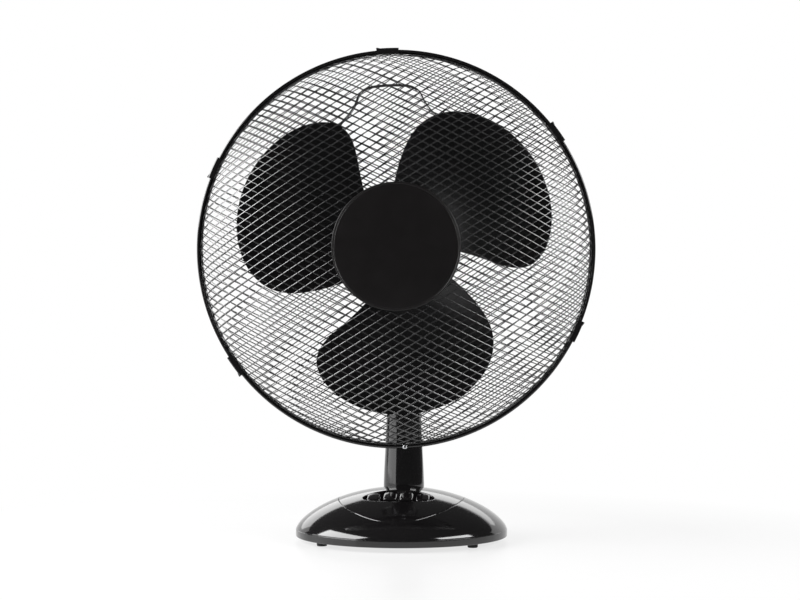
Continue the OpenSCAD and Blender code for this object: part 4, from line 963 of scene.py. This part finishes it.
# %% Base screws, cover screw and safety screw
UPRIGHT, HALF_TURN = (0.0, 0.0, 0.0), (math.pi, 0.0, 0.0)
PLATE_LOW, COVER_BACK, SAFETY_R = 6.5, -100, 213.4
base_spots = ring_spots(93, [0, 52, 128, 180, 232, 308], PLATE_LOW)
fit(on_points("base_screw_set", screw_object(3.6, 1.6, 2.0, 9), base_spots, HALF_TURN, steel), "base_screws")
fit(on_points("cover_screw_head", screw_object(3.4, 1.8, 1.45, 12), [(0, 0, COVER_BACK)], HALF_TURN, steel,
              FAN), "cover_screw")
screw = on_points("safety_screw_and_nut", screw_object(2.5, 1.3, 1.3, 13.7), [(SAFETY_R, 0, 105.4)], UPRIGHT,
                  chrome, GUARD @ about_z(90 - BOSS_ANGLE))
nut = moved(prism(arc(2.6, evenly(6)), 92.6, 94.6), at_clock(BOSS_ANGLE, SAFETY_R))
merge(screw, build("nut", nut, GUARD, chrome))
fit(screw, "safety_screw")

# %% [markdown]
# ## Feet and cord bush
# The feet share one form, a rubber button with a stem, put on four points. The bush that guards the
# cord's hole in the rear of the base is a turned ring that lies on its side.

# %% Feet and the cord bush
foot_form = turned([(0, 0, 0), (5.4, 0, 0.8), (6, 6.4, 0.4), (2.1, 6.4, 0), (2.1, 9.4, 0.4), (0, 9.4, 0)], 40)
fit(on_points("rubber_foot_set", build("foot", foot_form, finish=rubber),
              ring_spots(102, [36.6, 143.4, 216.6, 323.4], 0), UPRIGHT, rubber), "rubber_feet")
bush_place = shift((0, 0.116, 0.016)) @ Matrix.Rotation(math.radians(-90), 4, "X")
bush_form = lathe(rounded([(3.6, -7, 0.3), (5, -7, 0.3), (5, 0, 0.2), (6.8, 0, 0.3), (6.8, 1.5, 0.5),
                           (3.6, 1.5, 0.5)]), 48)
fit(build("cord_bush_moulding", bush_form, bush_place, rubber), "cord_bush")

# %% [markdown]
# ## Spinner and swing knob
# Both are turned mouldings with ridges round the grip, so that fingers don't slip. A ridge is a thin
# eight-sided rod, half sunk into the grip, which is simpler than a wavy outline.

# %% Spinner nut and swing knob
def ridge_ring(count, radius, low, high, size):
    ridge = prism(arc(size, evenly(8), radius), low, high)
    return joined(*(moved(ridge, Matrix.Rotation(2 * math.pi * k / count, 4, "Z")) for k in range(count)))


spinner = turned([(0, 118, 0), (4, 117.4, 2), (9, 115, 3), (13.5, 110, 3), (15.2, 105.5, 1),
                  (15, 104.05, 0.3), (4.03, 104.05, 0), (4.03, 116, 0), (0, 116, 0)], 96)
fit(build("spinner_moulding", joined(spinner, ridge_ring(18, 14.2, 104.3, 108.5, 0.9)), FAN), "spinner_nut")
knob_low, knob_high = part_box("swing_knob")
knob_mid = (knob_low + knob_high) / 2
top, bottom = knob_high.z / MM, knob_low.z / MM
knob = turned([(0, top, 0), (7, top - 0.5, 1.6), (8, top - 2.5, 1), (7.5, top - 11.6, 1),
               (6.5, top - 14.6, 0.6), (4, top - 15.6, 0.4), (4, top - 20.6, 0.3), (1.5, top - 20.6, 0),
               (1.5, bottom, 0.3), (0, bottom, 0)], 64)
grip = ridge_ring(20, 7.35, top - 11.5, top - 2.8, 0.5)
knob_place = shift((knob_mid.x, knob_mid.y, 0))
fit(build("swing_knob_moulding", joined(knob, grip), knob_place), "swing_knob")

# %% [markdown]
# ## The motor cover
# The cover is a deep cup with a rounded back. Its cooling slots and the opening for the bracket
# are cut with booleans: a dense turned shell keeps its reflections smooth round each cut.

# %% Motor cover
COVER_R, COVER_INNER, COVER_BEND, BACK_STEPS, SLOTS = 58, 55.8, -66, 28, 12
TILT_PIN = (0, 0.035, 0.322)


def cover_back(radius, end):
    """Outline of the rounded back, from the side wall to the axis."""
    out = []
    for i in range(BACK_STEPS):
        a = math.pi / 2 * i / BACK_STEPS
        out.append((radius * math.cos(a) ** 0.8, COVER_BEND - (COVER_BEND - end) * math.sin(a) ** 0.8))
    return out + [(0.0, end)]


HEAD = shift(TILT_PIN) @ Matrix((across, forward * -1, UP)).transposed().to_4x4()
mouth = rounded([(55.9, 25, 0), (COVER_R, 25, 0.8), (COVER_R, COVER_BEND, 0)], closed=False)[:-1]
side_wall = [(COVER_R, z) for z in np.linspace(20, -60, 9)]
backs = cover_back(COVER_R, COVER_BACK) + cover_back(COVER_INNER, -97.8)[::-1]
shell = lathe(mouth + side_wall + backs + [(COVER_INNER, 25)], 160)
slot = rounded([(26, -1.5, 1.4), (42, -1.5, 1.4), (42, 1.5, 1.4), (26, 1.5, 1.4)], steps=3)
slots = [moved(prism(slot, -110, -60), about_z(30 * k + 15)) for k in range(SLOTS)]
opening = prism(rounded([(-30, -22, 4), (36, -22, 4), (36, 86, 6), (-30, 86, 6)]), -70, -41)
cutters = [build("slots", joined(*slots), FAN), build("opening", opening, HEAD),
           build("knob hole", moved(rod(4.6, 20, 80, 32), shift((11.4, 50.5, 0))), HEAD),
           build("screw hole", rod(2, -110, -90, 24), FAN)]
fit(build("motor_cover_moulding", shell, FAN, gloss, smooth=35, cuts=cutters), "motor_cover")

# %% [markdown]
# ## The carry handle
# A single bent wire, welded to the rear mesh at both ends. A tube swept along a smooth curve is the
# simplest way: each ring of points stands square to the curve.

# %% Carry handle
HANDLE_R, HANDLE_SIDES = 1.5, 12


def sweep(path, radius, sides):
    rows = []
    for i, here in enumerate(path):
        along = (path[min(i + 1, len(path) - 1)] - path[max(i - 1, 0)]).normalized()
        side = along.cross(UP).normalized()
        lift = side.cross(along)
        rows.append([tuple(here + side * i + lift * j) for i, j in arc(radius, evenly(sides))])
    return stacked(rows)


half_path = [(58, 138, 0), (55, 144, 1), (46, 154, 7), (39, 165, 14), (35, 175, 20), (30, 182, 24),
             (20, 186.5, 27)]
surface = GUARD_U - HOOP_LIFT - rear_depth * dome_share(math.hypot(58, 138))
spots = [(-x, y, z) for x, y, z in half_path] + [(0, 188, 28)] + half_path[::-1]
path = [Vector((x, y, surface - 0.8 - CLEARANCE - HANDLE_R - z)) for x, y, z in curve_through(spots, 8)]
wire = sweep(path, HANDLE_R, HANDLE_SIDES)
fit(build("carry_handle_wire", wire, GUARD, wire_paint, smooth=50), "carry_handle")

# %% [markdown]
# ## The stage
# The fan stands on a pale sheet with a white backdrop behind it. Near the fan a share of the sheet is
# still lit, so that it keeps the soft shadow, and further out it turns to plain white. Camera rays and
# mirror rays see that white, so the glossy skin reflects a studio and not a dark room.

# %% Floor and backdrop
SHEET_GREY, FLOOR_GLOW = 0.72, 0.72
WALL_AT, WALL_HALF, WALL_TOP = 4, 6, 2.6


def stage_finish(name, near_glow, glow_from, glow_to):
    material = bpy.data.materials.new(name)
    g = fresh_graph(material)
    spot = g.node("ShaderNodeSeparateXYZ", {}, {0: g.node("ShaderNodeTexCoord")["Object"]})
    far = (spot["X"] * spot["X"] + spot["Y"] * spot["Y"]).math("SQRT")
    glow = ((far - glow_from) / (glow_to - glow_from)).clamp(near_glow, 1.0)
    rays = g.node("ShaderNodeLightPath")
    seen = rays["Is Camera Ray"].math("MAXIMUM", rays["Is Glossy Ray"])
    grey = (SHEET_GREY, SHEET_GREY, SHEET_GREY, 1)
    sheet = g.node("ShaderNodeBsdfPrincipled", {}, {"Base Color": grey, "Roughness": 0.3})["BSDF"]
    white = g.node("ShaderNodeEmission", {}, {"Color": (1, 1, 1, 1), "Strength": 1.0})["Emission"]
    mixed = g.node("ShaderNodeMixShader", {}, {0: glow * seen, 1: sheet, 2: white})["Shader"]
    g.node("ShaderNodeOutputMaterial", {}, {"Surface": mixed})
    return material


def sheet(name, corners, finish):
    mesh = new_mesh(name, corners, [list(range(len(corners)))])
    mesh.materials.append(finish)
    in_scene(name, mesh)


sheet("floor", [(-3, -0.8, 0), (0.62, -0.8, 0), (0.75, 0.6, 0), (1.5, WALL_AT, 0), (-3, WALL_AT, 0)],
      stage_finish("floor sheet", FLOOR_GLOW, -0.3, 0.6))
sheet("backdrop", [(x, WALL_AT, z) for x, z in ((-WALL_HALF, 0), (WALL_HALF, 0), (WALL_HALF, WALL_TOP),
                                                (-WALL_HALF, WALL_TOP))],
      stage_finish("backdrop sheet", 0.0, -1.0, 0.0))
print("backdrop", WALL_TOP, "m high,", WALL_AT, "m behind the fan")

# %% [markdown]
# ## The light
# A glossy black form is drawn by what it reflects. A large soft box high at the left and a smaller one
# at the right draw the long highlights on the base and the strands. A low box at the left lights the
# column's side, and a wide one far behind lights the edges. A faint world fills the rest.

# %% Lamps and world
AIM, BACK_AIM = Vector((0, 0, 0.1)), Vector((-0.2, 0, 0.1))


def soft_box(name, place, aim, size, watts):
    lamp = bpy.data.lights.new(name, "AREA")
    lamp.shape, lamp.size, lamp.size_y, lamp.energy = "RECTANGLE", size[0], size[1], watts
    obj = in_scene(name, lamp)
    obj.location = place
    obj.rotation_euler = (aim - Vector(place)).to_track_quat("-Z", "Y").to_euler()


soft_box("left box", (-1.53, -0.5, 1.04), AIM, (1.85, 1.02), 62.2)
soft_box("left low box", (-1.82, -0.49, 0.26), AIM, (2.28, 0.64), 10.5)
soft_box("right box", (1.54, -0.62, 0.95), AIM, (1.31, 0.6), 27.2)
soft_box("back box", (-0.5, 3.85, 1.6), BACK_AIM, (6.0, 1.4), 38)
world = bpy.data.worlds.new("studio")
scene.world = world
g = fresh_graph(world)
rays = g.node("ShaderNodeLightPath")
room = g.node("ShaderNodeBackground", {}, {"Color": (1, 1, 1, 1), "Strength": 0.08})["Background"]
white = g.node("ShaderNodeBackground", {}, {"Color": (1, 1, 1, 1), "Strength": 1.0})["Background"]
mixed = g.node("ShaderNodeMixShader", {}, {0: rays["Is Camera Ray"], 1: room, 2: white})["Shader"]
g.node("ShaderNodeOutputWorld", {}, {"Surface": mixed})
scene.view_settings.view_transform = "Standard"
